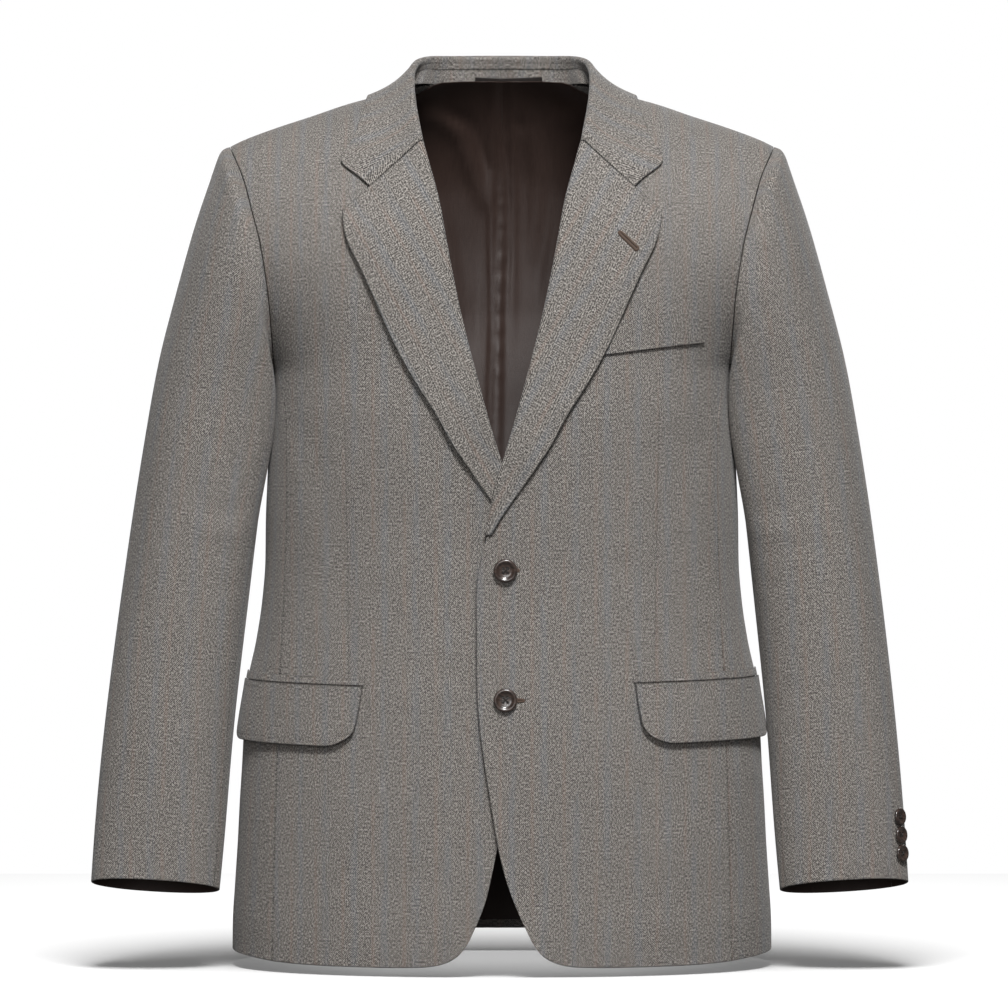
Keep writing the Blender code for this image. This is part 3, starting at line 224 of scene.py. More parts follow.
# The flat cut of each piece as it shows: width and length of the rectangle it is cut from, and its
# area, in metres and square metres.
CUTS = {
    "front_left": (0.286, 0.840, 0.1635),
    "front_right": (0.280, 0.840, 0.1615),
    "back_left": (0.259, 0.827, 0.1585),
    "back_right": (0.291, 0.827, 0.1667),
    "lapel_left": (0.106, 0.346, 0.0220),
    "lapel_right": (0.106, 0.346, 0.0230),
    "collar": (0.470, 0.086, 0.0334),
    "collar_stand": (0.318, 0.019, 0.00345),
    "pocket_flap_left": (0.177, 0.057, 0.0089),
    "pocket_flap_right": (0.172, 0.057, 0.0086),
    "pocket_jet_left": (0.171, 0.011, 0.0012),
    "pocket_jet_right": (0.166, 0.011, 0.00117),
    "chest_welt": (0.105, 0.040, 0.00276),
    "back_lining": (0.476, 0.773, 0.2635),
    "hanger_loop": (0.061, 0.010, 0.00034),
}
for side in ("left", "right"):
    CUTS[f"side_{side}"] = (0.170, 0.535, 0.0880)
    CUTS[f"sleeve_top_{side}"] = (0.249, 0.677, 0.1256)
    CUTS[f"sleeve_under_{side}"] = (0.221, 0.661, 0.0813)

# Soft folds in the fronts, laid out on the wearer's left: depth, half width, then x, z along them.
# A negative depth is a ridge.
FRONT_FOLDS = (
    (0.9, 13, (196, -262), (172, -310), (152, -372), (140, -430)),
    (-0.7, 12, (200, -285), (182, -345), (168, -410)),
    (0.6, 10, (30, -424), (66, -404), (104, -372)),
    (0.5, 11, (34, -436), (80, -452), (128, -458)),
    (-0.5, 12, (26, -540), (72, -556), (118, -588)),
    (0.7, 16, (92, -604), (98, -680), (94, -758)),
    (-0.6, 15, (132, -618), (140, -690), (146, -762)),
    (0.6, 14, (172, -600), (178, -680), (176, -758)),
    (0.8, 15, (168, -96), (182, -150), (186, -205)),
    (-0.5, 14, (120, -130), (138, -190), (150, -250)),
)
BACK_FOLDS = (
    (1.9, 12, (168, -120), (172, -190), (166, -262), (152, -330)),
    (-1.3, 12, (148, -135), (152, -215), (140, -300)),
    (1.0, 15, (60, -20), (96, -34), (140, -62)),
    (1.1, 11, (20, -404), (78, -418), (140, -410)),
    (-0.8, 10, (12, -426), (70, -442), (132, -436)),
    (0.9, 12, (34, -462), (90, -474), (150, -462)),
    (0.9, 18, (60, -560), (66, -650), (64, -750)),
    (-0.8, 18, (112, -560), (118, -650), (120, -750)),
    (0.8, 16, (150, -590), (156, -670), (160, -750)),
)
# Folds in the sleeves: depth, half width, then millimetres round from the outer edge towards the
# front, and height.
SLEEVE_FOLDS = (
    (1.5, 9, (78, -352), (112, -372), (146, -366)),
    (-0.9, 8, (84, -370), (118, -388), (150, -384)),
    (1.3, 9, (70, -398), (110, -402), (148, -414)),
    (1.0, 8, (92, -424), (124, -436), (152, -432)),
    (1.1, 12, (-96, -150), (-112, -230), (-104, -310)),
    (-0.8, 12, (-66, -170), (-78, -250), (-72, -330)),
    (0.9, 12, (96, -150), (104, -215), (112, -285)),
    (0.8, 13, (20, -300), (34, -380), (30, -470)),
    (-0.6, 13, (-24, -330), (-34, -420), (-28, -520)),
    (0.9, 10, (-60, -430), (-92, -450), (-120, -440)),
    (0.7, 12, (40, -560), (52, -620), (50, -676)),
)
# Folds in the back lining, as seen through the neck: depth, half width, then x, z.
LINING_FOLDS = (
    (2.6, 5, (-68, 2), (-50, -6), (-33, -14), (-22, -36), (-8, -58)),
    (-6.5, 8, (-64, -8), (-40, -26), (-28, -52), (-14, -92)),
    (-4.5, 9, (-70, -50), (-56, -110), (-40, -200)),
    (-4.6, 8, (26, -6), (34, -60), (30, -140)),
    (1.6, 3, (-7, -30), (-6, -80), (-8, -160), (-10, -300), (-10, -430)),
    (-3.4, 4, (-1, -20), (0, -90), (-2, -200), (-3, -340)),
    (1.5, 3.5, (8, 6), (6, -40), (7, -110), (5, -180)),
    (1.4, 5, (12, -8), (20, -18), (26, -8)),
    (0.9, 3, (-24, -110), (-22, -160), (-25, -230)),
    (0.8, 3, (-15, -120), (-13, -180), (-15, -260)),
    (0.8, 4, (40, -60), (36, -120), (30, -200)),
    (-4.4, 9, (62, -20), (54, -90), (42, -180)),
)
DART = (138.0, 134.0, -277.0, -514.0)  # x at the top and the bottom, z of the top and the bottom
DART_DEPTH, DART_HALF_WIDTH = 0.45, 4.5
EDGE_LIFT = 2.0  # the left front's edge rolls out this far below the lapel
TROUGH = 1.7  # and the right front beside it is pressed in this far
FLOOR_Z = -0.776  # in metres
WORLD_LIGHT = 0.125  # strength of the light from all round
PAPER_GLOW = 0.1
# The sheets made so far with their cuts, the outer surface of each, and what is sewn on each.
SHEETS, SURFACES, ON_SHEET = [], {}, {}


# ---------------------------------------------------------------- the cut, as in the part
def through(table, at):
    """A table's later columns where its first one is `at`, smooth and with no overshoot."""
    rows = np.array(table, float)
    rows = rows[np.argsort(rows[:, 0], kind="stable")]
    key, values = rows[:, 0], rows[:, 1:]
    step = np.diff(key)[:, None]
    slope = np.diff(values, axis=0) / step
    tangent = np.zeros_like(values)
    tangent[0], tangent[-1] = slope[0], slope[-1]
    if len(key) > 2:
        product = slope[:-1] * slope[1:]
        total = slope[:-1] + slope[1:]
        tangent[1:-1] = np.where(product > 0, 2 * product / np.where(total == 0, 1, total), 0)
    at = np.clip(np.asarray(at, float), key[0], key[-1])
    i = np.clip(np.searchsorted(key, at, side="right") - 1, 0, len(key) - 2)
    width = (key[i + 1] - key[i])[..., None]
    t = ((at - key[i])[..., None]) / width
    return (
        values[i] * (1 + 2 * t) * (1 - t) ** 2
        + values[i + 1] * t * t * (3 - 2 * t)
        + tangent[i] * width * t * (1 - t) ** 2
        - tangent[i + 1] * width * t * t * (1 - t)
    )


def along(points, shares):
    """Points at shares of the length of a smooth curve through the given points."""
    points = np.array(points, float)
    knots = np.linspace(0, 1, len(points))
    fine = through(np.column_stack([knots, points]), np.linspace(0, 1, 400))
    length = line_lengths(fine)
    at = np.asarray(shares) * length[-1]
    return np.column_stack([np.interp(at, length, fine[:, k]) for k in range(points.shape[1])])


def ease(t):
    """A soft step from 0 at 0 to 1 at 1."""
    t = np.clip(t, 0, 1)
    return t * t * (3 - 2 * t)


def section(x, z, depth_column):
    """Depth of the rounded section at a height, before the shoulder's rounding."""
    size = through(BODY, z)
    half, depth, square = size[..., 0], size[..., depth_column], size[..., 3]
    inside = np.clip(1 - np.abs(x / half) ** square, 1e-6, 1)
    return depth * inside ** (1 / square)


def body_y(x, z, side):
    """Depth of the cloth's outer surface, on the front or on the back."""
    x, z = np.abs(np.asarray(x, float)), np.asarray(z, float)
    ridge = through(SHOULDER, x)
    height = ridge[..., 0] - z
    rounding = FRONT_ROUNDING if side == "front" else BACK_ROUNDING
    rise = np.sqrt(1 - (1 - np.clip(height / rounding, 0, 1)) ** 2)
    flat = -section(x, z, 1) if side == "front" else section(x, z, 2)
    return ridge[..., 1] + (flat - ridge[..., 1]) * rise


def body_point(x, z, side):
    return np.stack([x, body_y(x, z, side), z], axis=-1)


def body_normal(x, z, side):
    """Which way the outer surface faces."""
    d = 0.5
    z = np.minimum(z, through(SHOULDER, np.abs(x))[..., 0] - 1.0)
    by_x = (body_y(x + d, z, side) - body_y(x - d, z, side)) / (2 * d)
    by_z = (body_y(x, z + d, side) - body_y(x, z - d, side)) / (2 * d)
    sign = -1 if side == "front" else 1
    normal = np.stack([-by_x * sign, np.full(np.shape(by_x), float(sign)), -by_z * sign], axis=-1)
    return unit(normal)


def off_body(x, z, side, height):
    """Points at a height over the outer surface."""
    return body_point(x, z, side) + body_normal(x, z, side) * np.asarray(height)[..., None]


def ridge_normal(x):
    by_x = (through(SHOULDER, x + 0.5) - through(SHOULDER, x - 0.5))[..., 0]
    return unit(np.stack([-by_x, np.zeros_like(by_x), np.ones_like(by_x)], axis=-1))


def ring_point(angle, z):
    """The body's outer surface below the armhole: angle 0 at the front, 90 degrees at the side."""
    size = through(BODY, z)
    half, square = size[..., 0], size[..., 3]
    depth = np.where(np.cos(angle) > 0, size[..., 1], size[..., 2])
    total = np.abs(np.sin(angle) / half) ** square + np.abs(np.cos(angle) / depth) ** square
    radius = total ** (-1 / square)
    return np.stack([radius * np.sin(angle), -radius * np.cos(angle), z], axis=-1)


def ring_normal(angle, z):
    d = 0.002
    across = ring_point(angle + d, z) - ring_point(angle - d, z)
    up = ring_point(angle, z + 1) - ring_point(angle, z - 1)
    return unit(np.cross(across, up))


def grid_normals(grid):
    """Unit normals of a grid of points, rows by columns."""
    normal = np.cross(np.gradient(grid, axis=1), np.gradient(grid, axis=0))
    return normal / np.maximum(np.linalg.norm(normal, axis=-1, keepdims=True), 1e-9)


def mirrored(grid):
    """The same grid on the wearer's other side, still facing out."""
    return (grid * np.array([-1.0, 1.0, 1.0]))[:, ::-1]


def coons(bottom, top, left, right):
    """A grid filled in between four edges that meet at their ends, in rows from bottom to top."""
    u = 0.5 * (share(bottom) + share(top))[None, :, None]
    v = 0.5 * (share(left) + share(right))[:, None, None]
    return (
        (1 - v) * bottom[None]
        + v * top[None]
        + (1 - u) * left[:, None]
        + u * right[:, None]
        - (1 - u) * (1 - v) * bottom[0]
        - u * (1 - v) * bottom[-1]
        - (1 - u) * v * top[0]
        - u * v * top[-1]
    )


def line_lengths(grid):
    """Distance of each point of a line, or of a grid's columns, from the first one."""
    step = np.linalg.norm(np.diff(grid, axis=0), axis=-1)
    return np.concatenate([np.zeros((1, *step.shape[1:])), np.cumsum(step, axis=0)])


def across_lengths(grid):
    """Distance of each point of a grid from its first column, along its row."""
    return line_lengths(grid.transpose(1, 0, 2)).T


def share(points):
    """How far along its length each point of a line lies, from 0 to 1."""
    length = line_lengths(points)
    return length / length[-1]


def seam_x(z, which):
    """Where the side seam crosses a height: 0 for the front one, 1 for the back one."""
    return through(SIDE_SEAMS, z)[..., which]


def hem_z(angle):
    """Height of the hem round the side, from the front's side seam to the centre back."""
    heights = (HEM_FRONT, HEM_FRONT, HEM_SIDE, HEM_BACK_SEAM, HEM_BACK)
    return np.interp(np.degrees(angle), (55, 66, 90, 120, 180), heights)


def squeeze(heights, hem):
    """The low rows, stretched so that the lowest lies on the hem."""
    heights = np.array(heights, float)
    share_up = (heights - heights[0]) / (SEAM_TOP - heights[0])
    return hem + (SEAM_TOP - hem) * share_up


def low_and_high(hem):
    """Heights of all the rows of a front or back at its side seam and armhole."""
    return np.concatenate([squeeze(LOW_HEIGHTS, hem), HIGH_HEIGHTS])


def front_inner_line(side, heights):
    """Inner edge of a front: neck seam, roll line, front edge, as x at the given heights."""
    column = 0 if side == "left" else 1
    lower = [(z, row[column]) for z, *row in FRONT_EDGE]
    # The front's edge lies just inside the lapel's roll.
    upper = [(z, x + (2.8 if z > -50 else 1.5)) for z, x in ROLL[:-1]]
    if side == "right":
        lower = [(z, -x) for z, x in lower]
    neck = [(-38, 78.0), (-27, 79.0), (-14, 82.5), (0, 85.2), (9.8, 86.0)]
    return through(sorted(lower + upper + neck), heights)[..., 0]


def lap(x, z):
    """How far the left front stands out and the right one in, at a point of the body."""
    near = ease((48 - np.abs(x + 2)) / 18) * ease((-285 - z) / 40)
    lapel_room = ease((z + 452) / 40)  # the right lapel runs between the fronts here
    return near * (LAP_OUT + 1.3 * lapel_room), near * (LAP_IN + 1.0 * lapel_room)


def side_grid(cols):
    """The side body's outer surface on the wearer's left, from its front seam to its back seam."""
    shares = np.linspace(0, 1, cols)
    heights = squeeze(LOW_HEIGHTS, 0.0)
    rows = []
    for k in range(len(LOW_HEIGHTS) + 1):
        up = 1.0 if k == len(LOW_HEIGHTS) else heights[k] / SEAM_TOP
        line = []
        for s in shares:
            z = -500.0
            for _ in range(3):
                front_x, back_x = seam_x(z, 0), seam_x(z, 1)
                start = math.atan2(front_x, -float(body_y(front_x, z, "front")))
                end = math.atan2(back_x, -float(body_y(back_x, z, "back")))
                angle = start + (end - start) * s
                top = SEAM_TOP + (UNDERARM - SEAM_TOP) * math.sin(math.pi * s) ** 0.8
                hem = float(hem_z(angle))
                if s == 0:
                    hem = FRONT_HEM[-1][1]
                z = hem + (top - hem) * up
            line.append((angle, z))
        rows.append(line)
    return np.array(rows)


def armhole_loop(side_top):
    """The armhole on the wearer's left: shoulder, down the front, under the arm, up the back."""
    table = np.array(ARMHOLE, float)
    front = body_point(table[:, 1], table[:, 0], "front")[::-1]
    back = body_point(table[:, 2], table[:, 0], "back")
    shoulder = np.array([table[-1, 1], through(SHOULDER, table[-1, 1])[1], table[-1, 0]])
    return np.concatenate([[shoulder], front[1:-1], side_top, back[1:-1]])


def sleeve_ring(turn, row):
    """Points of one section of the left sleeve's outer surface at turns round it from its outside."""
    outer_x, outer_z, inner_x, inner_z, front_y, back_y, bow, tuck, pitch = row
    c, s = np.cos(turn), np.sin(turn)
    radius = (np.abs(c) ** SLEEVE_SQUARE + np.abs(s) ** SLEEVE_SQUARE) ** (-1 / SLEEVE_SQUARE)
    c, s = c * radius, s * radius
    x = (outer_x + inner_x) / 2 + (outer_x - inner_x) / 2 * c + bow * s * s
    x = x - 4 * tuck * np.maximum(0, -np.cos(turn) * np.sin(turn)) ** 2
    y = (front_y + back_y) / 2 - (back_y - front_y) / 2 * s
    z = (outer_z + inner_z) / 2 + (outer_z - inner_z) / 2 * c
    return np.stack([x, y, z - pitch * (y - (front_y + back_y) / 2)], axis=-1)


def sleeve_rings(loop):
    """Rings of the left sleeve's outer surface, the columns running as round the armhole."""
    count = len(loop)
    lowest = int(np.argmin(loop[:, 2]))
    length = line_lengths(np.concatenate([loop, loop[:1]]))
    turn = np.interp(length[:count], (0, length[lowest], length[-1]), (0, math.pi, 2 * math.pi))
    rings = [loop + np.array([SLEEVE_EASE, 0, 0])]
    rings += [sleeve_ring(turn, row) for row in SLEEVE]
    return np.array(rings), turn


def swung(points, side):
    """Sleeve points with the swing of the cuffs, on the wearer's left or right."""
    moved = points.copy()
    moved[..., 0] -= (1 if side == "left" else -1) * SWING * ease((-300 - points[..., 2]) / 400)
    return moved


def rolled_path(width, radius, lift, inside, start):
    """Section across a lapel as (distance from the fold, height over the body), middle of the wall.

    It comes from `inside` under the front, or from the angle `start` of the roll where nothing
    turns in, and goes over the fold and out to the lapel's edge.
    """
    centre, mid = radius * 0.55, -CLOTH / 2
    turn = np.radians(np.linspace(start, 90, 5))
    arc = np.column_stack([centre - radius * np.cos(turn), mid + radius * np.sin(turn)])
    inward = np.array((-np.sin(turn[0]), -np.cos(turn[0])))
    tail = [arc[0] + inward * inside * k for k in (1, 0.5)]
    out = np.array(ACROSS_LEAF)
    top = arc[-1][1]
    leaf = np.column_stack([centre + (width - centre) * out, top + (lift - top) * out**1.5])
    return np.concatenate([tail, arc, leaf])


def lapel_rows(side):
    """The middle of the lapel's wall as a grid on the wearer's left, and the frame of its top row."""
    shares = np.linspace(0, 1, 14)
    roll = along([(x, z) for z, x in ROLL[:-1]] + [(-13.4, -391)], shares)
    outer = along([LAPEL_POINT] + [(x, z) for z, x in LAPEL_EDGE], shares)
    rows, frames = [], []
    for fold, edge in zip(roll, outer):
        width = np.linalg.norm(edge - fold)
        direction = (edge - fold) / width
        low = ease((-300 - fold[1]) / 45)
        radius = ROLL_RADIUS + (2.2 - ROLL_RADIUS) * low
        lift = LAPEL_LIFT + ((1.4 if side == "right" else 2.2) - LAPEL_LIFT) * low
        inside, start = 13.0, -90.0
        if side == "left":
            inside, start = 13.0 + (0.3 - 13.0) * low, -90 + 115 * low
        path = rolled_path(width, radius, lift, inside, start)
        flat = fold + direction * path[:, :1]
        x, z = flat[:, 0], flat[:, 1]
        out, back = lap(x if side == "left" else -x, z)
        height = path[:, 1] + (out if side == "left" else -back)
        rows.append(off_body(x, z, "front", height))
        frames.append((fold, direction, radius))
    return np.array(rows), frames[0]


def body_tree():
    """The body's outer surface on the wearer's left, for keeping the collar clear of it."""
    x = np.concatenate([np.linspace(-60, 72, 12), np.linspace(76, 200, 32)])
    down = 200 * (1 - np.cos(np.linspace(0, 1, 36) * math.pi / 2))
    verts, faces = [], []
    for side in ("front", "back"):
        z = through(SHOULDER, np.abs(x))[:, 0][None, :] - down[:, None]
        found = quads(len(verts) + np.arange(z.size).reshape(z.shape)).tolist()
        faces += [quad[::-1] if side == "front" else quad for quad in found]
        verts += body_point(np.broadcast_to(x, z.shape), z, side).reshape(-1, 3).tolist()
    return BVHTree.FromPolygons(verts, faces)


def quads(index):
    """Four-sided faces over a grid of point numbers."""
    corners = [index[:-1, :-1], index[:-1, 1:], index[1:, 1:], index[1:, :-1]]
    return np.stack(corners, axis=-1).reshape(-1, 4)


def kept_clear(points, tree, least):
    """Points moved out where they come nearer the body than `least`."""
    moved = points.copy()
    for i, point in enumerate(points):
        spot, normal, _, _ = tree.find_nearest(Vector(point))
        away = Vector(point) - spot
        inside = -1 if away.dot(normal) < 0 else 1
        distance = away.length * inside
        if distance < least:
            moved[i] = np.array(spot + normal * least)
    return moved


def unit(v):
    """A vector, or each of a grid of vectors, at length 1."""
    return v / np.linalg.norm(v, axis=-1, keepdims=True)


def seated(side, x, z, height):
    """A point over the body, on its front, its back or the ridge between them."""
    x, z = np.array(float(x)), np.array(float(z))
    if side == "ridge":
        ridge = through(SHOULDER, x)
        return np.array([x, ridge[1], ridge[0]]) + ridge_normal(x) * height
    return off_body(x, z, side, height)


def collar_rows():
    """Middle of the fall's wall and of the stand's, as grids from the centre back to the gorge."""
    fold = np.array([row[:3] for row in COLLAR], float)
    leaf = np.array([seated(*row[3:6], LEAF_LIFT) for row in COLLAR])
    neck = np.array([seated(*row[6:9], -CLOTH / 2) for row in COLLAR])
    ahead = np.concatenate([fold[1:2] * (-1, 1, 1), fold])
    tangent = np.gradient(ahead, axis=0)[1:]
    tree = body_tree()
    fall, stand = [], []
    for row, (f, e, g, t) in enumerate(zip(fold, leaf, neck, tangent)):
        crest = -unit(unit(e - f) + unit(g - f))
        outward = np.cross(unit(t), crest)
        if np.dot(outward, (f[0], f[1] + 10, 0.0)) < 0:
            outward = -outward
        outward = unit(outward)
        radius = 2.2 + 0.8 * float(ease((row - 8) / 5))
        centre = f - crest * radius
        turn = np.radians(np.linspace(-90, 90, 5))
        arc = centre + radius * (np.sin(turn)[:, None] * outward + np.cos(turn)[:, None] * crest)
        depth = min(FALL_INSIDE, np.linalg.norm(g - arc[0]) - 3.5)
        down = unit(g - arc[0]) * 0.5 - crest * 0.5
        tail = [arc[0] + unit(down) * depth * k for k in (1, 0.5)]
        a = arc[-1]
        bend = a - crest * 0.42 * np.linalg.norm(e - a)
        s = np.array(ACROSS_LEAF)[:, None]
        out = (1 - s) ** 2 * a + 2 * s * (1 - s) * bend + s * s * e
        out = kept_clear(out, tree, CLOTH / 2 + 1.0)
        fall.append(np.concatenate([tail, arc, out]))
        round_front = float(ease((row - 4) / 4))
        top = tail[0] + unit(tail[0] - tail[1]) * (0.5 + 1.3 * round_front)
        foot = g + unit(top - g) * (0.8 + 3.6 * round_front)
        stand.append([top + (foot - top) * k for k in (0, 0.33, 0.67, 1)])
    return np.array(fall), np.array(stand)


def both_sides(half):
    """Rows on the wearer's left, joined at the centre back to their mirror."""
    return np.concatenate([(half * np.array([-1.0, 1.0, 1.0]))[:0:-1], half])


def flap_angles(length_of, front_x):
    """Turns round the body for distances from the pocket's front end, and the pocket's length."""
    start = math.atan2(front_x, -float(body_y(front_x, MID_FLAP, "front")))
    turns = np.linspace(start - 0.1, math.radians(FLAP_REAR_ANGLE + 4), 300)
    length = line_lengths(ring_point(turns, np.full(300, MID_FLAP)))
    length -= np.interp(start, turns, length)
    total = float(np.interp(math.radians(FLAP_REAR_ANGLE), turns, length))
    return np.interp(length_of, length, turns), total


def pocket_line(table, total, count, rear=False):
    """An edge of a flap. Distances below zero, and all of the rear end's, are from its rear end."""
    points = [(total + d if rear or d < 0 else d, z) for d, z in table]
    return along(points, np.linspace(0, 1, count))


def sleeve_surface(turn, level):
    """A point of the left sleeve's outer surface; level counts the rows of SLEEVE."""
    return sleeve_ring(turn, through([(k, *row) for k, row in enumerate(SLEEVE)], level))


def lining_depth(x, z):
    """How far the back lining hangs in from the back's inner face: its pleat and its drape."""
    pleat = 3.2 * np.exp(-(((x + 9) / 6.0) ** 2)) * ease((z + 420) / 160)
    fold = 2.2 * np.exp(-(((x - 9) / 6.0) ** 2)) * ease((z + 250) / 120)
    drape = 1.5 * (1 + np.sin(z / 47.0 + x / 38.0)) * ease((20 - z) / 60) * ease((z + 730) / 60)
    vent_room = 3.6 * ease((52 - np.abs(x - 6)) / 14) * ease((-470 - z) / 30)
    shoulder_room = 3.0 * ease((np.abs(x) - 45) / 25) * ease((z + 25) / 25)
    return 2.4 + pleat + fold + drape + vent_room + shoulder_room


# ---------------------------------------------------------------- fine cloth from the cut
def spline(knots, values, at):
    """A smooth curve through rows of values at the knots, read at other places."""
    step = np.diff(knots)
    count = len(knots)
    left = np.eye(count)
    right = np.zeros((count, values.shape[1]))
    for i in range(1, count - 1):
        left[i, i - 1 : i + 2] = step[i - 1], 2 * (step[i - 1] + step[i]), step[i]
        slopes = (values[i + 1] - values[i]) / step[i] - (values[i] - values[i - 1]) / step[i - 1]
        right[i] = 6 * slopes
    bend = np.linalg.solve(left, right)
    i = np.clip(np.searchsorted(knots, at, side="right") - 1, 0, count - 2)
    h = step[i][:, None]
    b = (at - knots[i])[:, None] / h
    a = 1 - b
    curve = ((a**3 - a) * bend[i] + (b**3 - b) * bend[i + 1]) * h * h / 6
    return a * values[i] + b * values[i + 1] + curve


def refined(grid, rows, cols):
    """A grid read between its points: rows and cols say where, counted in rows and columns."""
    for axis, at in ((0, rows), (1, cols)):
        grid = np.moveaxis(grid, axis, 0)
        flat = grid.reshape(len(grid), -1)
        gaps = np.linalg.norm(np.diff(grid, axis=0), axis=-1).reshape(len(grid) - 1, -1).mean(axis=1)
        knots = np.concatenate([[0], np.cumsum(np.maximum(gaps, 1e-6))])
        places = np.interp(at, np.arange(len(grid)), knots)
        read = spline(knots, flat, places)
        grid = np.moveaxis(read.reshape(len(at), *grid.shape[1:]), 0, axis)
    return grid


def steps(count, per, first=12.0, last=12.0):
    """Places along `count` lines, `per` to a space, with close ones at both ends for the edge's
    rounding; first and last are the sizes of the end spaces in millimetres."""
    near = np.array((0.0, 0.22, 0.5, 0.85, 1.4, 2.4))
    middle = np.arange(1, (count - 1) * per) / per
    middle = middle[(middle > 3.2 / first) & (middle < count - 1 - 3.2 / last)]
    return np.concatenate([near / first, middle, (count - 1 - near / last)[::-1]])


def edge_distances(grid):
    """Distance of each point from the first and last row and the first and last column."""
    down, over = line_lengths(grid), across_lengths(grid)
    return down, down[-1] - down, over, over[:, -1:] - over


def crease(x, z, fold):
    """How far a point is pressed in by a fold, given as (depth, half width, *points)."""
    depth, half_width, *path = fold
    line = along(path, np.linspace(0, 1, 33))
    apart = (x[..., None] - line[:, 0]) ** 2 + (z[..., None] - line[:, 1]) ** 2
    share_along = np.argmin(apart, axis=-1) / 32
    fade = np.sin(math.pi * np.clip(share_along, 0.0, 1.0)) ** 0.8
    return depth * np.exp(-np.min(apart, axis=-1) / half_width**2) * (0.12 + 0.88 * fade)


def folds_in(x, z, folds):
    """All of a piece's folds together."""
    total = np.zeros(np.shape(x))
    for fold in folds:
        total = total + crease(x, z, fold)
    return total


def add_piece(
    name, points, faces, materials, which=None, maps=None, node=None, smooth=True
):
    """One piece as a mesh in metres, riding on the body, with its finish and its maps."""
    mesh = bpy.data.meshes.new(name)
    mesh.from_pydata((np.asarray(points) * MM).tolist(), [], [tuple(f) for f in faces])
    for material in materials:
        mesh.materials.append(material)
    if which is not None:
        mesh.polygons.foreach_set("material_index", np.asarray(which, np.int32))
    mesh.polygons.foreach_set("use_smooth", np.full(len(mesh.polygons), smooth))
    loops = np.empty(len(mesh.loops), np.int32)
    mesh.loops.foreach_get("vertex_index", loops)
    for label, values in (maps or {}).items():
        layer = mesh.uv_layers.new(name=label)
        layer.uv.foreach_set("vector", values[loops].astype(np.float32).ravel())
    mesh.update()
    mesh.validate()
    piece = bpy.data.objects.new(name, mesh)
    bpy.context.scene.collection.objects.link(piece)
    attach(piece, "root")
    if node:
        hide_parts(node)
    return piece


def add_sheet(name, outer, inner, coords, finish, inside, rims):
    """A piece of cloth as a wall between two grids, its rims rounded, with its weave's coordinates.

    rims gives the rounding at the first row, last row, first column and last column.
    """
    rows, cols = outer.shape[:2]
    away = edge_distances(outer)
    drop = np.zeros((rows, cols))
    for distance, radius in zip(away, rims):
        if radius:
            inward = np.clip(radius - distance, 0, radius)
            drop = np.maximum(drop, radius - np.sqrt(radius**2 - inward**2))
    into = unit(inner - outer) * drop[..., None]
    outer, inner = outer + into, inner - into
    under = rows * cols
    index = np.arange(under).reshape(rows, cols)
    faces = quads(index)
    backs = faces[:, ::-1] + under
    ring = np.concatenate([index[0, :-1], index[:-1, -1], index[-1, :0:-1], index[:0:-1, 0]])
    after = np.roll(ring, -1)
    rim = np.stack([after, ring, ring + under, after + under], axis=-1)
    every = np.concatenate([faces, backs, rim])
    which = np.concatenate([np.zeros(len(faces)), np.ones(len(backs)), np.zeros(len(rim))])
    points = np.concatenate([outer.reshape(-1, 3), inner.reshape(-1, 3)])
    middle = (points[faces[len(faces) // 2]], points[faces[len(faces) // 2] + under])
    way = np.cross(middle[0][1] - middle[0][0], middle[0][2] - middle[0][0])
    if np.dot(way, middle[0][0] - middle[1][0]) < 0:
        every = every[:, ::-1]
    nearest = np.min(away, axis=0)
    line = np.where(np.minimum(away[0], away[1]) <= np.minimum(away[2], away[3]), away[2], away[0])
    maps = {
        "cloth": np.tile(coords.reshape(-1, 2), (2, 1)),
        "edge": np.tile(np.stack([nearest, line], axis=-1).reshape(-1, 2), (2, 1)),
    }
    piece = add_piece(name, points, every, (finish, inside), which, maps, name)
    SHEETS.append((piece, *CUTS[name]))
    SURFACES[name] = outer


# ---------------------------------------------------------------- shader sums
class Val:
    """A shader socket carrying a number, for sums written in Python."""

    def __init__(self, finish, socket):
        self.finish, self.socket = finish, socket

    def math(self, operation, *others):
        values = dict(enumerate((self, *others)))
        return self.finish.node("ShaderNodeMath", {"operation": operation}, values)

    __add__ = __radd__ = lambda self, other: self.math("ADD", other)
    __sub__ = lambda self, other: self.math("SUBTRACT", other)
    __rsub__ = lambda self, other: self * -1 + other
    __mul__ = __rmul__ = lambda self, other: self.math("MULTIPLY", other)
    __truediv__ = lambda self, other: self.math("DIVIDE", other)

    def odd(self):
        """0 and 1 in turn as the whole numbers go by."""
        return self.math("FLOOR").math("FLOORED_MODULO", 2.0)

    def apart(self, other):
        """How far from another number."""
        return (self - other).math("ABSOLUTE")

    def zigzag(self, width):
        """Up and down between 0 and the width."""
        return self.math("PINGPONG", width)

    def step(self, low, high):
        """0 below low, 1 above high and soft between; low may be the greater."""
        if low > high:
            return 1 - self.step(high, low)
        settings = {"interpolation_type": "SMOOTHSTEP"}
        values = {"Value": self, "From Min": low, "From Max": high}
        return self.finish.node("ShaderNodeMapRange", settings, values)


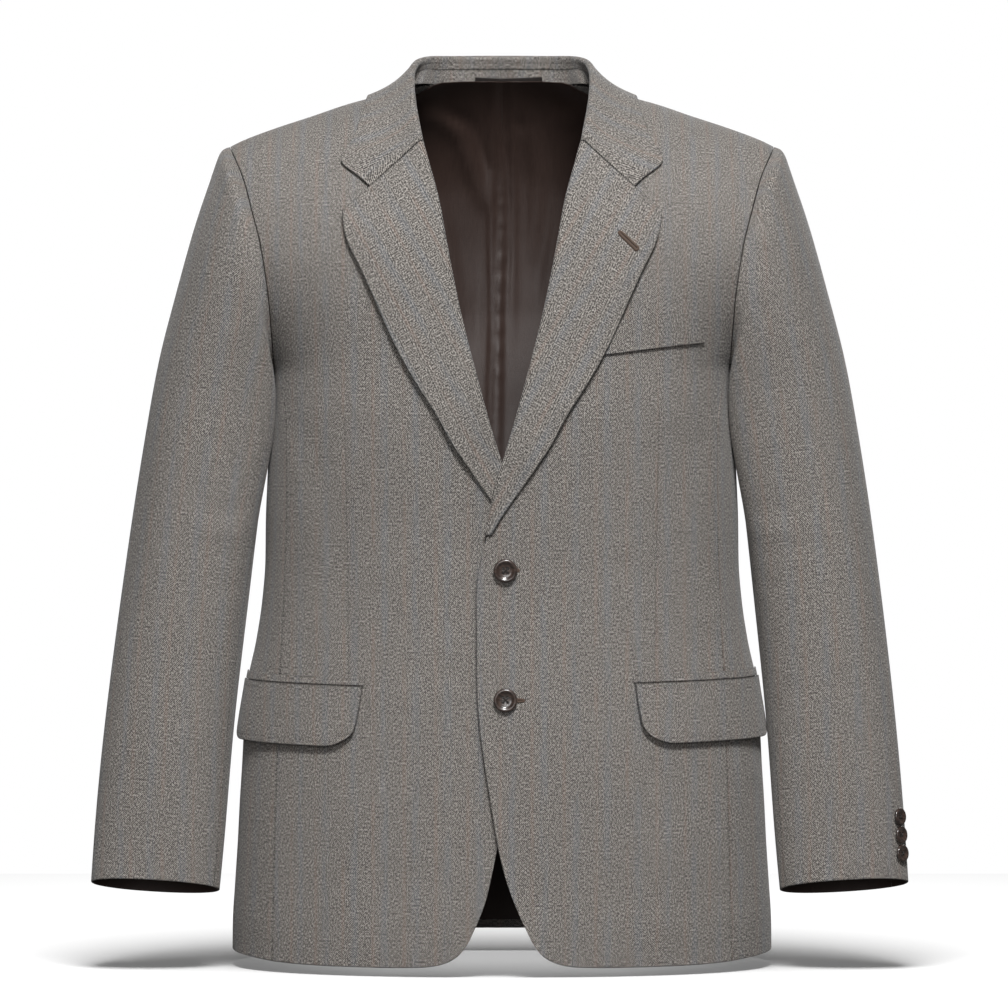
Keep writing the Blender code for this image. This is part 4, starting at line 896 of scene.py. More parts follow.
class Finish:
    """A material being made, with one method for any node."""

    def __init__(self, name, **constants):
        self.material = bpy.data.materials.new(name)
        self.material.use_nodes = True
        self.tree = self.material.node_tree
        self.shader = self.tree.nodes["Principled BSDF"]
        for socket, value in constants.items():
            self.shader.inputs[socket.replace("_", " ")].default_value = value

    def node(self, kind, settings=None, values=None, out=0):
        node = self.tree.nodes.new(kind)
        for key, value in (settings or {}).items():
            setattr(node, key, value)
        for key, value in (values or {}).items():
            socket = node.inputs[key]
            if isinstance(value, Val):
                self.tree.links.new(value.socket, socket)
            else:
                socket.default_value = value
        return Val(self, node.outputs[out])

    def map(self, name):
        """The two numbers of one of the piece's maps."""
        both = self.node("ShaderNodeUVMap", {"uv_map": name})
        return self.parts(both)[:2]

    def parts(self, vector):
        split = self.tree.nodes.new("ShaderNodeSeparateXYZ")
        self.tree.links.new(vector.socket, split.inputs[0])
        return [Val(self, split.outputs[k]) for k in range(3)]

    def place(self, x, y, z=0.0):
        return self.node("ShaderNodeCombineXYZ", None, {0: x, 1: y, 2: z})

    def noise(self, where, detail=2.0, rough=0.5):
        """Soft noise, read at a place given as two or three numbers."""
        values = {"Vector": self.place(*where), "Scale": 1.0, "Detail": detail, "Roughness": rough}
        return self.node("ShaderNodeTexNoise", {"noise_dimensions": "3D"}, values)

    def mix(self, share_of_second, first, second):
        """A colour between two, each a colour or a socket."""
        first, second = (c if isinstance(c, Val) else (*c, 1.0) for c in (first, second))
        values = {0: share_of_second, 6: first, 7: second}
        return self.node("ShaderNodeMix", {"data_type": "RGBA"}, values, out=2)

    def darkened(self, colour, amount):
        """The colour times a number that varies."""
        grey = self.place(amount, amount, amount)
        values = {0: 1.0, 6: colour, 7: grey}
        settings = {"data_type": "RGBA", "blend_type": "MULTIPLY"}
        return self.node("ShaderNodeMix", settings, values, out=2)

    def bump(self, height, strength, distance):
        values = {"Height": height, "Strength": strength, "Distance": distance}
        self.feed("Normal", self.node("ShaderNodeBump", None, values))

    def feed(self, socket, value):
        self.tree.links.new(value.socket, self.shader.inputs[socket])


def wool_herringbone(name, stitched=0.0, painted_edge_shade=0.25, dart=False):
    """Grey herringbone with faint rust and blue-grey stripes, its colour darkened near every edge as
    painted shade. Where stitched is over 0, prick stitches run that far from the edge, with painted
    shade in their dents; dart adds painted shade along the dart."""
    wool = Finish(name, Sheen_Weight=0.18, Sheen_Roughness=0.45, Specular_IOR_Level=0.28)
    u, v = wool.map("cloth")
    from_edge, along_edge = wool.map("edge")
    drift = wool.noise((u * 0.05, v * 0.05)) - 0.5
    shaken = wool.noise((u * 1.1, v * 1.1, 3.0)) - 0.5
    u_drawn = u + drift * 1.2
    rise = u_drawn.zigzag(COLUMN) * 1.15
    turned = (u_drawn / COLUMN).odd() * 0.5
    twill = ((v + rise) / TWILL + turned + shaken * 0.34).zigzag(0.5) * 2
    fibre = wool.noise((u * 2.6, v * 1.2, 7.0), 3.0, 0.65)
    fleck = wool.noise((u * 0.95, v * 0.55, 11.0))
    yarn = (u * 1.55).zigzag(0.5) * (v * 1.55).zigzag(0.5) * 4
    tone = twill * 0.72 + fibre * 0.5 + yarn * 0.1 - 0.38
    colour = wool.mix(tone.step(0.1, 0.66), YARN_DARK, YARN_LIGHT)
    colour = wool.mix((fleck - 0.5).step(0.01, 0.13) * 0.5, colour, FLECK_LIGHT)
    colour = wool.mix((fleck - 0.5).step(-0.01, -0.13) * 0.66, colour, FLECK_DARK)
    at = (u / STRIPE + 0.31).math("FRACT")
    blotch = wool.noise((u * 0.18, v * 0.02, 2.0), 1.0).step(0.3, 0.62)
    rust, blue = at.apart(0.25).step(0.1, 0.02), at.apart(0.62).step(0.2, 0.04)
    colour = wool.mix(rust * blotch * 0.21, colour, RUST)
    colour = wool.mix(blue * blotch * 0.2, colour, BLUE_GREY)
    cloudy = 0.93 + 0.14 * wool.noise((u * 0.012, v * 0.012, 5.0))
    slub = 0.76 + 0.48 * wool.noise((u * 0.42, v * 0.045, 9.0), 2.0, 0.6)
    # Painted shade: the colour darkens within 1.5 mm of every edge of a piece, by the given share.
    shade = cloudy * slub * (1 - from_edge.step(1.5, 0.2) * painted_edge_shade)
    height = twill * 0.5 + fibre * 0.8 + yarn * 0.25
    if stitched:
        off_line = from_edge.apart(stitched)
        prick = (along_edge / PRICK_SPACING).math("FRACT").apart(0.5)
        dent = off_line.step(0.75, 0.25) * prick.step(0.2, 0.1)
        height = height - dent * 2.2 - off_line.step(2.2, 0.0) * 0.5
        # Painted shade: the colour darkens by a quarter in each prick stitch's dent.
        shade = shade * (1 - dent * 0.25)
    if dart:
        low, high = DART[3] - WEAVE_LEVEL, DART[2] - WEAVE_LEVEL
        left, right = (float(weave_across(x, "front")) for x in (DART[1], DART[0]))
        seam_u = left + (v - low) * ((right - left) / (high - low))
        close = u.math("ABSOLUTE").apart(seam_u).step(1.1, 0.3)
        close = close * v.step(low - 4, low) * v.step(high + 3, high - 20)
        height = height - close * 2.0
        # Painted shade: the colour darkens along the dart's sewn line, which the bump also presses
        # in.
        shade = shade * (1 - close * 0.2)
    wool.feed("Base Color", wool.darkened(colour, shade))
    wool.feed("Roughness", 0.78 + fibre * 0.16)
    wool.bump(height, 0.55, 0.0004)
    return wool.material


def lining_twill(name, dark, light):
    """Smooth lining twill, softly shining, between two colours."""
    satin = Finish(name, Sheen_Weight=0.05, Specular_IOR_Level=0.35)
    u, v = satin.map("cloth")
    line = ((u + v * 1.6) / 0.62).zigzag(0.5) * 2
    slub = satin.noise((u * 0.9, v * 0.07), 3.0)
    cloudy = satin.noise((u * 0.02, v * 0.012, 4.0))
    tone = line * 0.35 + slub * 0.5 + cloudy * 0.35
    colour = satin.mix(tone.step(0.3, 1.0), dark, light)
    satin.feed("Base Color", colour)
    satin.feed("Roughness", 0.42 + slub * 0.16)
    satin.bump(line * 0.6 + slub * 0.7, 0.3, 0.0002)
    return satin.material


def polished_horn(name):
    """Mottled dark brown horn under a polish."""
    horn = Finish(name, Coat_Roughness=0.07, Specular_IOR_Level=0.5, Coat_Weight=0.8)
    x, y, z = horn.parts(horn.node("ShaderNodeTexCoord", out=3))
    streak = horn.noise((x * 210, y * 210, z * 520 + x * 160), 4.0, 0.6)
    spot = horn.noise((x * 900, y * 900, z * 900))
    colour = horn.mix(streak.step(0.34, 0.66), (0.014, 0.0085, 0.0065), (0.062, 0.038, 0.029))
    colour = horn.mix(spot.step(0.55, 0.75) * 0.2, colour, (0.11, 0.08, 0.065))
    horn.feed("Base Color", colour)
    horn.feed("Roughness", 0.22 + spot * 0.2)
    horn.bump(spot, 0.08, 0.0002)
    return horn.material


def twisted_thread(name, colour, pitch):
    """Sewing thread: two plies twisted, seen as slanting ridges, its colour darkened in the grooves
    between the plies as painted shade.
    """
    thread = Finish(name, Sheen_Weight=0.2, Specular_IOR_Level=0.3)
    u, v = thread.map("cloth")
    ply = ((u + v * 0.8) / pitch).zigzag(0.5) * 2
    hair = thread.noise((u * 3.0, v * 3.0), 3.0)
    dark = tuple(0.45 * c for c in colour)
    # Painted shade: the colour goes dark in the grooves between the plies, where the bump is low.
    thread.feed("Base Color", thread.mix(ply * 0.6 + hair * 0.4, dark, colour))
    thread.feed("Roughness", 0.6 + hair * 0.2)
    thread.bump(ply + hair * 0.4, 0.5, 0.0002)
    return thread.material


def slit_shade_finish(name):
    """A near-black finish for the inside of a buttonhole's slit: painted shade, as the slit holds
    only shade.
    """
    gap = Finish(name, Specular_IOR_Level=0.1)
    u, v = gap.map("cloth")
    lint = gap.noise((u * 2.0, v * 2.0))
    gap.feed("Base Color", gap.mix(lint, (0.010, 0.008, 0.007), (0.030, 0.024, 0.020)))
    gap.feed("Roughness", 0.8 + lint * 0.1)
    return gap.material


# ---------------------------------------------------------------- where the weave lies
ACROSS_X = np.arange(0.0, 251.0, 1.0)
WAIST, FLAT_TO, STEEPEST = -400.0, 204, 1.35


def across_table(side):
    """Cloth from the centre line to each of ACROSS_X, measured round the waist as far as FLAT_TO,
    no millimetre counting for more than STEEPEST."""
    slope = np.diff(body_y(np.minimum(ACROSS_X, FLAT_TO), np.full(251, WAIST), side))
    return np.concatenate([[0], np.cumsum(np.minimum(np.hypot(1.0, slope), STEEPEST))])


ACROSS = {side: across_table(side) for side in ("front", "back")}


def weave_across(x, side):
    """Millimetres of cloth from the centre line to x, so that stripes hang straight down."""
    return np.sign(x) * np.interp(np.abs(x), ACROSS_X, ACROSS[side])


def weave_up(points, side=None):
    """Millimetres of cloth straight up a grid's columns, 0 at WEAVE_LEVEL.

    On a front or back, given by side, the way up is the one at a steady distance from the centre,
    and near the shoulder's ridge it is the grid's own.
    """
    x, z = points[..., 0], points[..., 2]
    back = np.diff(points[..., 1], axis=0)
    if side:
        level_x = np.minimum(x[:-1], 175)
        over = ease((z[:-1] - through(SHOULDER, x[:-1])[..., 0] + 18) / 12)
        level_back = body_y(level_x, z[1:], side) - body_y(level_x, z[:-1], side)
        back = back * over + level_back * (1 - over)
    climbed = np.cumsum(np.hypot(np.diff(z, axis=0), back), axis=0)
    up = np.concatenate([np.zeros((1, points.shape[1])), climbed])
    level = [np.interp(WEAVE_LEVEL, z[:, k], up[:, k]) for k in range(z.shape[1])]
    return up - np.array(level)


# ---------------------------------------------------------------- body
def panel_edge(heights, which):
    """The side seam and armhole edge of a front (0) or back (1), as x and z."""
    below = seam_x(heights[: len(LOW_HEIGHTS)], which)
    beside = [row[1 + which] for row in ARMHOLE]
    return np.column_stack([np.concatenate([below, beside]) - SEAM, heights])


def front_flat(side):
    """The front laid out as the wearer's left one: x and z of its grid."""
    heights = low_and_high(FRONT_HEM[-1][1])
    outer_edge = panel_edge(heights, 0)
    corner_z = FRONT_EDGE[-1][0]
    corner_x = FRONT_EDGE[-1][1] if side == "left" else -FRONT_EDGE[-1][2]
    inner_heights = corner_z + (NECK[-1][1] - corner_z) * share(outer_edge)
    inner_edge = np.column_stack([front_inner_line(side, inner_heights), inner_heights])
    hem = np.array(FRONT_HEM, float)
    hem[:, 0] += (corner_x - hem[0, 0]) * (1 - ease((hem[:, 0] - 26) / 90))
    bottom = along(hem, np.linspace(0, 1, FRONT_COLUMNS))
    bottom[0], bottom[-1] = inner_edge[0], outer_edge[0]
    ridge_x = np.linspace(inner_edge[-1, 0], outer_edge[-1, 0], FRONT_COLUMNS)
    top = np.column_stack([ridge_x, through(SHOULDER, ridge_x)[:, 0]])
    inner_edge[-1], outer_edge[-1] = top[0], top[-1]
    return coons(bottom, top, inner_edge, outer_edge)


def on_side(side, coords, *grids):
    """Weave coordinates and grids made for the wearer's left, as they lie on the named side."""
    if side == "left":
        return coords, *grids
    return coords[:, ::-1] * (-1, 1), *(mirrored(grid) for grid in grids)


def laid_on_ridge(x, z, where=True):
    """The heights of a panel with its top row exactly on the shoulder's ridge and none above it."""
    ridge = through(SHOULDER, x)[..., 0]
    short = np.where(where, ridge[-1] - z[-1], 0)
    z = z + short * ease((z - z[-1] + 14) / 14)
    return np.where(where, np.minimum(z, ridge), z)


def make_fronts():
    for side in ("left", "right"):
        flat = front_flat(side)
        flat = refined(flat, steps(len(flat), 5, 26, 3.5), steps(FRONT_COLUMNS, 6, 16, 17))
        x = flat[..., 0]
        z = laid_on_ridge(x, flat[..., 1])
        points = body_point(x, z, "front")
        normals = body_normal(x, z, "front")
        out, back = lap(x if side == "left" else -x, z)
        move = out if side == "left" else -back
        edge_x = front_inner_line("left", z)
        if side == "left":
            move = move + EDGE_LIFT * ease((edge_x + 16 - x) / 16) * ease((-395 - z) / 40)
        else:
            beside = np.exp(-(((x + edge_x - 3.5) / 5.5) ** 2))
            move = move - TROUGH * beside * ease((-400 - z) / 40)
        pressed = folds_in(x, z, FRONT_FOLDS) * ease((-x + 203) / 14) * ease((-z - 40) / 50)
        dart_x = DART[0] - (DART[0] - DART[1]) * (DART[2] - z) / (DART[2] - DART[3])
        dart = ease((DART[2] - z) / 40) * ease((z - DART[3]) / 12)
        dart = dart * np.exp(-(((x - dart_x) / DART_HALF_WIDTH) ** 2))
        points = points + normals * (move - pressed - DART_DEPTH * dart)[..., None]
        points[-1, :, 1] -= SEAM
        normals[-1] = ridge_normal(x[-1])
        coords = np.stack([weave_across(x, "front"), weave_up(points, "front")], axis=-1)
        coords, points, normals = on_side(side, coords, points, normals)
        rims = (0.85, 0.3, 0.85, 0.3) if side == "left" else (0.85, 0.3, 0.3, 0.85)
        add_sheet(f"front_{side}", points, points - normals * CLOTH, coords, WOOL_FRONT, LINING, rims)


def make_backs():
    for side in ("left", "right"):
        heights = low_and_high(HEM_BACK_SEAM)
        outer_edge = panel_edge(heights, 1)
        centre = HEM_BACK + (NECK[0][1] - HEM_BACK) * share(outer_edge)
        neck = np.array(NECK, float)
        top_neck = along(neck, np.linspace(0, 1, 5))
        ridge_x = np.linspace(neck[-1, 0], outer_edge[-1, 0], BACK_COLUMNS - 4)
        ridge = np.column_stack([ridge_x, through(SHOULDER, ridge_x)[:, 0]])
        top = np.concatenate([top_neck[:-1], ridge])
        top[0, 0] = SEAM
        inner_edge = np.column_stack([np.full(len(heights), SEAM), centre])
        inner_edge[-1], outer_edge[-1] = top[0], top[-1]
        bottom_x = np.linspace(SEAM, outer_edge[0, 0], len(top))
        bottom_z = HEM_BACK + (HEM_BACK_SEAM - HEM_BACK) * bottom_x / outer_edge[0, 0]
        bottom = np.column_stack([bottom_x, bottom_z])
        rows = steps(len(heights), 5, 26, 3.5)
        flat = coons(bottom, top, inner_edge, outer_edge)
        low = refined(flat[:, :5], rows, np.concatenate([steps(5, 8, 21, 21)[:-6], [3.9, 4.0]]))
        high = refined(flat[:, 4:], rows, steps(6, 6, 22, 25)[6:])
        flat = np.concatenate([low, high], axis=1)
        x = flat[..., 0]
        on_ridge = x[-1] >= neck[-1, 0] - 0.01
        z = laid_on_ridge(x, flat[..., 1], on_ridge)
        sunk = np.zeros_like(x)
        if side == "right":
            strip = np.array((0.0, 0.25, 0.6, 1.2, 4, 10, 16, 22, 28, 32, 33.4)) - VENT_UNDERLAY
            in_vent = z[:, 0] < VENT_TOP
            edge = np.where(in_vent, 1.0, 0.0)[:, None]
            by_seam = SEAM + np.linspace(0, 1.9, len(strip))
            x = np.column_stack([edge * strip + (1 - edge) * by_seam, x[:, 5:]])
            z = np.column_stack([np.repeat(z[:, :1], len(strip), axis=1), z[:, 5:]])
            sunk = in_vent[:, None] * ease((16 - x) / 12) * (CLOTH + 0.6)
        points = body_point(x, z, "back")
        normals = body_normal(x, z, "back")
        pressed = folds_in(x, z, BACK_FOLDS) * ease((x - 12) / 22) * ease((203 - x) / 14)
        pressed = pressed * ease((-z + 10) / 40)
        points = points - normals * (sunk + pressed)[..., None]
        on_ridge = x[-1] >= neck[-1, 0] - 0.01
        points[-1, on_ridge, 1] += SEAM
        normals[-1, on_ridge] = ridge_normal(x[-1, on_ridge])
        coords = np.stack([weave_across(x, "back"), weave_up(points, "back")], axis=-1)
        points, normals, coords = points[:, ::-1], normals[:, ::-1], coords[:, ::-1]
        coords, points, normals = on_side(side, coords, points, normals)
        rims = (0.85, 0.3, 0.3, 0.5) if side == "left" else (0.85, 0.3, 0.5, 0.3)
        add_sheet(f"back_{side}", points, points - normals * CLOTH, coords, WOOL, WOOL, rims)


def side_points(grid):
    """A side body's outer surface, drawn in from the middle of its two seams."""
    points = ring_point(grid[..., 0], grid[..., 1])
    across = unit(np.gradient(points, axis=1))
    points[:, 0] += across[:, 0] * SEAM
    points[:, -1] -= across[:, -1] * SEAM
    return points


def make_sides():
    coarse = side_grid(7)
    grid = refined(coarse * (200, 1), steps(len(coarse), 5, 30, 26), steps(7, 5, 18, 18)) / (200, 1)
    points = side_points(grid)
    normals = ring_normal(grid[..., 0], grid[..., 1])
    level = len(points) // 2
    u = 250 + line_lengths(points[level])
    coords = np.stack([np.broadcast_to(u, points.shape[:2]), weave_up(points)], axis=-1)
    for side in ("left", "right"):
        laid, outer, inner = on_side(side, coords, points, points - normals * CLOTH)
        add_sheet(f"side_{side}", outer, inner, laid, WOOL, LINING, (0.85, 0.3, 0.3, 0.3))
    return side_points(coarse)[-1]


# ---------------------------------------------------------------- sleeves
def make_sleeves(side_top):
    coarse, turn = sleeve_rings(armhole_loop(side_top))
    coarse[0, :, 0] -= SLEEVE_EASE - SLEEVE_GAP
    level = np.arange(len(coarse))[:, None]
    extra = SLEEVE_EXTRA * ease((level - 0.8) / 2.2) * ease((13 - level) / 4)
    coarse[..., 0] -= 4 * extra * np.maximum(0, -np.cos(turn) * np.sin(turn)) ** 2
    degrees = np.degrees(turn)
    count = len(turn)
    seams = [int(np.argmin(np.abs(degrees - d))) for d in (FRONT_SLEEVE_SEAM, BACK_SLEEVE_SEAM)]
    spans = (
        ("top", list(range(seams[1], count)) + list(range(0, seams[0] + 1))),
        ("under", list(range(seams[0], seams[1] + 1))),
    )
    per_row = steps(len(coarse), 8, 14, 52)
    for name, columns in spans:
        grid = coarse[:, columns]
        gap = SEAM * (1 + 3 * np.exp(-np.arange(len(grid)) / 1.2))[:, None]
        start, end = unit(grid[:, 1] - grid[:, 0]), unit(grid[:, -1] - grid[:, -2])
        grid[:, 0] += start * gap
        grid[:, -1] -= end * gap
        grid = refined(grid, per_row, steps(len(columns), 4, 12, 12))
        axis = unit(np.array((62.0, -32.0, -604.0)))
        middle = grid.shape[1] // 2
        step = np.diff(grid, axis=1)
        step = np.linalg.norm(step - (step @ axis)[..., None] * axis, axis=-1)
        u = np.concatenate([np.zeros((len(grid), 1)), np.cumsum(step, axis=1)], axis=1)
        if name == "top":
            outermost = int(np.argmax(grid[60, :, 0]))
            u = u - u[:, outermost : outermost + 1]
            first, last = u[:, :1], u[:, -1:]
        else:
            u = u + last
        v = -(grid @ axis)
        # Above the full tube the weave is carried on from it, column by column.
        tube = 40
        around = np.gradient(grid[tube], axis=0)
        around = unit(around - (around @ axis)[:, None] * axis)
        for row in range(tube - 1, -1, -1):
            move = grid[row] - grid[row + 1]
            sideways = np.sum(move * around, axis=-1)
            u[row] = u[row + 1] + sideways
            v[row] = v[row + 1] + np.sqrt(np.maximum(np.sum(move**2, axis=-1) - sideways**2, 0))
        normals = grid_normals(grid)
        away = grid[tube, middle] - coarse[5].mean(axis=0)
        if np.dot(normals[tube, middle], (away[0], away[1], 0)) < 0:
            normals = -normals
        pressed = folds_in(u, grid[..., 2], SLEEVE_FOLDS)
        if name == "under":
            pressed = pressed + folds_in(u - u[:, -1:] + first, grid[..., 2], SLEEVE_FOLDS)
        from_head = line_lengths(grid)
        pressed = pressed * ease((from_head - 12) / 40) * ease((from_head[-1] - from_head) / 40)
        points = grid - normals * pressed[..., None]
        coords = np.stack([u + 400, v], axis=-1)
        for side in ("left", "right"):
            grids = swung(points, side), swung(points - normals * CLOTH, side)
            laid, outer, inner = on_side(side, coords, *grids)
            rims = (0.3, 0.9, 0.3, 0.3)
            add_sheet(f"sleeve_{name}_{side}", outer, inner, laid, WOOL, LINING, rims)


# ---------------------------------------------------------------- lapels and collar
def walled(mid, thickness, towards):
    """Outer and inner grids of a wall about its middle; `towards` points out near its edge."""
    normals = grid_normals(mid)
    if np.sum(normals[len(mid) // 2, -8] * towards) < 0:
        normals = -normals
    return mid + normals * thickness / 2, mid - normals * thickness / 2


def make_lapels():
    for side in ("left", "right"):
        mid, _ = lapel_rows(side)
        lifted = 1.3 * np.array((0,) * 9 + (0.1, 0.3, 0.6, 1.0))
        mid = mid + body_normal(mid[..., 0], mid[..., 2], "front") * lifted[None, :, None]
        rows, cols = steps(len(mid), 7, 27, 27), steps(mid.shape[1], 5, 6, 14)
        mid = refined(mid, rows, cols)
        up = unit(np.subtract(LAPEL_EDGE[0][::-1], LAPEL_EDGE[-3][::-1]))
        x, z = mid[..., 0], mid[..., 2]
        coords = np.stack([x * up[1] - z * up[0], x * up[0] + z * up[1]], axis=-1)
        if side == "right":
            mid, coords = mirrored(mid)[:, ::-1], coords * (-1, 1)
        outer, inner = walled(mid, CLOTH, (0, -1, 0))
        add_sheet(f"lapel_{side}", outer, inner, coords, WOOL_PRICKED, WOOL, (0.25, 0.8, 0.0, 0.85))


def make_collar():
    fall, half_stand = collar_rows()
    _, (corner, direction, radius) = lapel_rows("left")
    length = np.linalg.norm(np.array(NOTCH) - corner)
    path = rolled_path(length, radius, 2.6, 2.5, -90)
    up = np.array([-direction[1], direction[0]]) * 0.35
    flat = corner + up + direction * path[:, :1]
    x, z = flat[:, 0], flat[:, 1]
    height = path[:, 1] + 0.5 * ease((path[:, 1] + 0.9) / 2.5)
    fall = both_sides(np.concatenate([fall, off_body(x, z, "front", height)[None]]))
    stand = both_sides(half_stand[:11])
    for name, mid, towards, per, finish, rims in (
        ("collar", fall, (0, 1, 0.2), 5, WOOL_PRICKED, (0.2, 0.2, 0.0, 0.85)),
        ("collar_stand", stand, (0, 1, 0), 4, WOOL, (0.0, 0.0, 0.0, 0.0)),
    ):
        mid = refined(mid, steps(len(mid), 5, 8, 8), steps(mid.shape[1], per, 5, 14))
        over = across_lengths(mid)
        u = line_lengths(mid[:, mid.shape[1] // 2])
        coords = np.stack([np.broadcast_to(u[:, None], over.shape), over], axis=-1)
        outer, inner = walled(mid, CLOTH, towards)
        add_sheet(name, outer, inner, coords, finish, WOOL, rims)
    return half_stand


# ---------------------------------------------------------------- pockets
def make_hip_pocket(side):
    front_x, drop = FLAP_FRONT_X[side], POCKET_DROP[side]
    _, total = flap_angles(0.0, front_x)
    front = pocket_line(FLAP_FRONT_END, total, 7)
    rear = pocket_line(FLAP_REAR_END, total, 7, rear=True)
    hem = pocket_line(FLAP_HEM, total, 12)
    top = along([(0, POCKET_FRONT_Z), (total, POCKET_REAR_Z)], np.linspace(0, 1, 12))
    flat = refined(coons(hem, top, front, rear), steps(7, 5, 8, 8), steps(12, 6, 13, 13))
    angle, _ = flap_angles(flat[..., 0], front_x)
    z = flat[..., 1] - drop
    lift = FLAP_LIFT_TOP + (FLAP_LIFT_HEM - FLAP_LIFT_TOP) * np.clip((-520 - z) / 50, 0, 1)
    lift = lift + (1.2 + 0.5 * np.sin(flat[..., 0] / 19.0)) * ease((-525 - z) / 45)
    normal = ring_normal(angle, z)
    flap = ring_point(angle, z) + normal * (lift + FLAP_WALL)[..., None]
    add_trim(f"pocket_flap_{side}", flap, normal, FLAP_WALL, (1.1, 0.3, 1.1, 1.1), WOOL_PRICKED)
    distance = np.linspace(-1.5, total + 1.5, 12)
    base = POCKET_FRONT_Z + (POCKET_REAR_Z - POCKET_FRONT_Z) * distance / total + 0.5 - drop
    flat = np.stack([
        np.broadcast_to(distance, (3, 12)),
        base[None, :] + np.array((0, JET_TALL / 2, JET_TALL))[:, None],
    ], axis=-1)
    flat = refined(flat, steps(3, 6, 3.4, 3.4), steps(12, 6, 13, 13))
    angle, _ = flap_angles(flat[..., 0], front_x)
    normal = ring_normal(angle, flat[..., 1])
    jet = ring_point(angle, flat[..., 1]) + normal * (0.35 + JET_WALL)
    add_trim(f"pocket_jet_{side}", jet, normal, JET_WALL, (0.65, 0.65, 0.65, 0.65), WOOL)


def add_trim(name, points, normal, thickness, rims, finish):
    """A piece of a hip pocket, its weave in line with the front's, on the side its name says."""
    start = weave_across(points[:, :1, 0], "front")
    coords = np.stack([start + across_lengths(points), points[..., 2] - WEAVE_LEVEL], axis=-1)
    side = name.rsplit("_", 1)[1]
    coords, outer, inner = on_side(side, coords, points, points - normal * thickness)
    if side == "right":
        rims = (rims[0], rims[1], rims[3], rims[2])
    add_sheet(name, outer, inner, coords, finish, LINING, rims)


def make_pockets():
    for side in ("left", "right"):
        make_hip_pocket(side)
    upper = along([WELT[0], WELT[1]], np.linspace(0, 1, 8))
    lower = along([WELT[3], WELT[2]], np.linspace(0, 1, 8))
    flat = np.array([lower + (upper - lower) * k for k in (0, 0.33, 0.67, 1)])
    flat = refined(flat, steps(4, 6, 9, 9), steps(8, 7, 12, 12))
    normal = body_normal(flat[..., 0], flat[..., 1], "front")
    points = body_point(flat[..., 0], flat[..., 1], "front") + normal * (1.1 + CLOTH)
    coords = np.stack([weave_across(points[..., 0], "front"), points[..., 2]], axis=-1)
    add_sheet("chest_welt", points, points - normal * CLOTH, coords, WOOL, WOOL, (0.8,) * 4)


# ---------------------------------------------------------------- lining and loop
def make_lining():
    half_x = np.array((0, 5, 10, 16, 38, 72, 106, 138, 163))
    spread = np.concatenate([-half_x[:0:-1], half_x])
    rows = []
    for z in (-746.5, -690, -635, -580, -525, -480, -435, -390, -345, -300, -262):
        edge = min(float(seam_x(z, 1)) - 7, 168.0)
        rows.append([(x * edge / 163 if abs(x) > 16 else x, z) for x in spread])
    table = [(row[0], row[2]) for row in ARMHOLE]
    for k in (0.17, 0.34, 0.51, 0.66, 0.79, 0.9, 1.0):
        line = []
        for x in spread:
            spread_out = abs(x) * 1.35
            top = float(through(NECK, min(spread_out, 82))[0]) - 1.5
            if spread_out > 82:
                top = float(through(SHOULDER, spread_out)[0]) - 7.5
            z = -262 + (top + 262) * k
            under_arm = 22 * float(ease((-125 - z) / 80))
            edge = float(through(table, max(z, SEAM_TOP))[0]) - 6 - under_arm
            line.append((x * edge / 163 if abs(x) > 16 else x, z))
        rows.append(line)
    flat = refined(np.array(rows, float), steps(len(rows), 7, 50, 25), steps(17, 7, 25, 25))
    x, z = flat[..., 0], flat[..., 1]
    ridge = through(SHOULDER, np.abs(x))[..., 0]
    z = np.minimum(z, ridge - 7.0)
    # Near the neck the lining is felled right up to the stand.
    short = through(NECK, np.minimum(np.abs(x[-1]), 86))[..., 0] + 1.0 - z[-1]
    z = z + np.maximum(short, 0) * ease((96 - np.abs(x[-1])) / 10) * ease((z - z[-1] + 70) / 70)
    felled = ease((np.abs(x) - 40) / 15) * ease((106 - np.abs(x)) / 14) * ease((z - z[-1] + 34) / 26)
    loose = (lining_depth(x, z) - folds_in(x, z, LINING_FOLDS)) * (1 - 0.93 * felled)
    hang = CLOTH + np.maximum(loose, 0.5)
    up = body_normal(x, z, "back")[..., 2] * hang
    near_neck = ease((z + 70) / 60) * ease((100 - np.abs(x)) / 25)
    z = np.minimum(z + up * near_neck, ridge - 3.5)
    normal = body_normal(x, z, "back")
    outer = body_point(x, z, "back") - normal * hang[..., None]
    coords = np.stack([x, z], axis=-1)[:, ::-1]
    outer, normal = outer[:, ::-1], normal[:, ::-1]
    inner, rims = outer - normal * LINING_WALL, (0.5, 0.4, 0.4, 0.4)
    add_sheet("back_lining", outer, inner, coords, LINING, LINING, rims)


def make_hanger_loop(stand):
    shares = np.linspace(0, 1, 9)
    x = -24.5 + 61 * shares
    foot = stand[:, 2]
    y = np.interp(np.abs(x), foot[:, 0], foot[:, 1]) - CLOTH / 2 - 1.1
    bow = 3.0 * np.sin(math.pi * shares)
    sag = 0.8 * np.sin(math.pi * shares)
    rows = [
        np.column_stack([x, y + lean - bow, z - sag])
        for z, lean in ((19.2, 0.6), (21.7, -0.4), (24.4, -1.2))
    ]
    grid = refined(np.array(rows)[:, ::-1], steps(3, 5, 2.6, 2.6), steps(9, 6, 7.6, 7.6))
    normals = grid_normals(grid)
    if normals[2, 5, 1] > 0:
        normals = -normals
    coords = np.stack([grid[..., 0], grid[..., 2]], axis=-1)
    outer, rims = grid + normals * 0.5, (0.45,) * 4
    inner = outer - normals
    add_sheet("hanger_loop", outer, inner, coords, LOOP_TAPE, LOOP_TAPE, rims)


# ---------------------------------------------------------------- stitches and buttonholes
def tree_of(name):
    """The outer surface of a piece already made, for laying things on it."""
    outer = SURFACES[name]
    faces = quads(np.arange(outer[..., 0].size).reshape(outer.shape[:2]))
    return BVHTree.FromPolygons(outer.reshape(-1, 3).tolist(), faces.tolist())


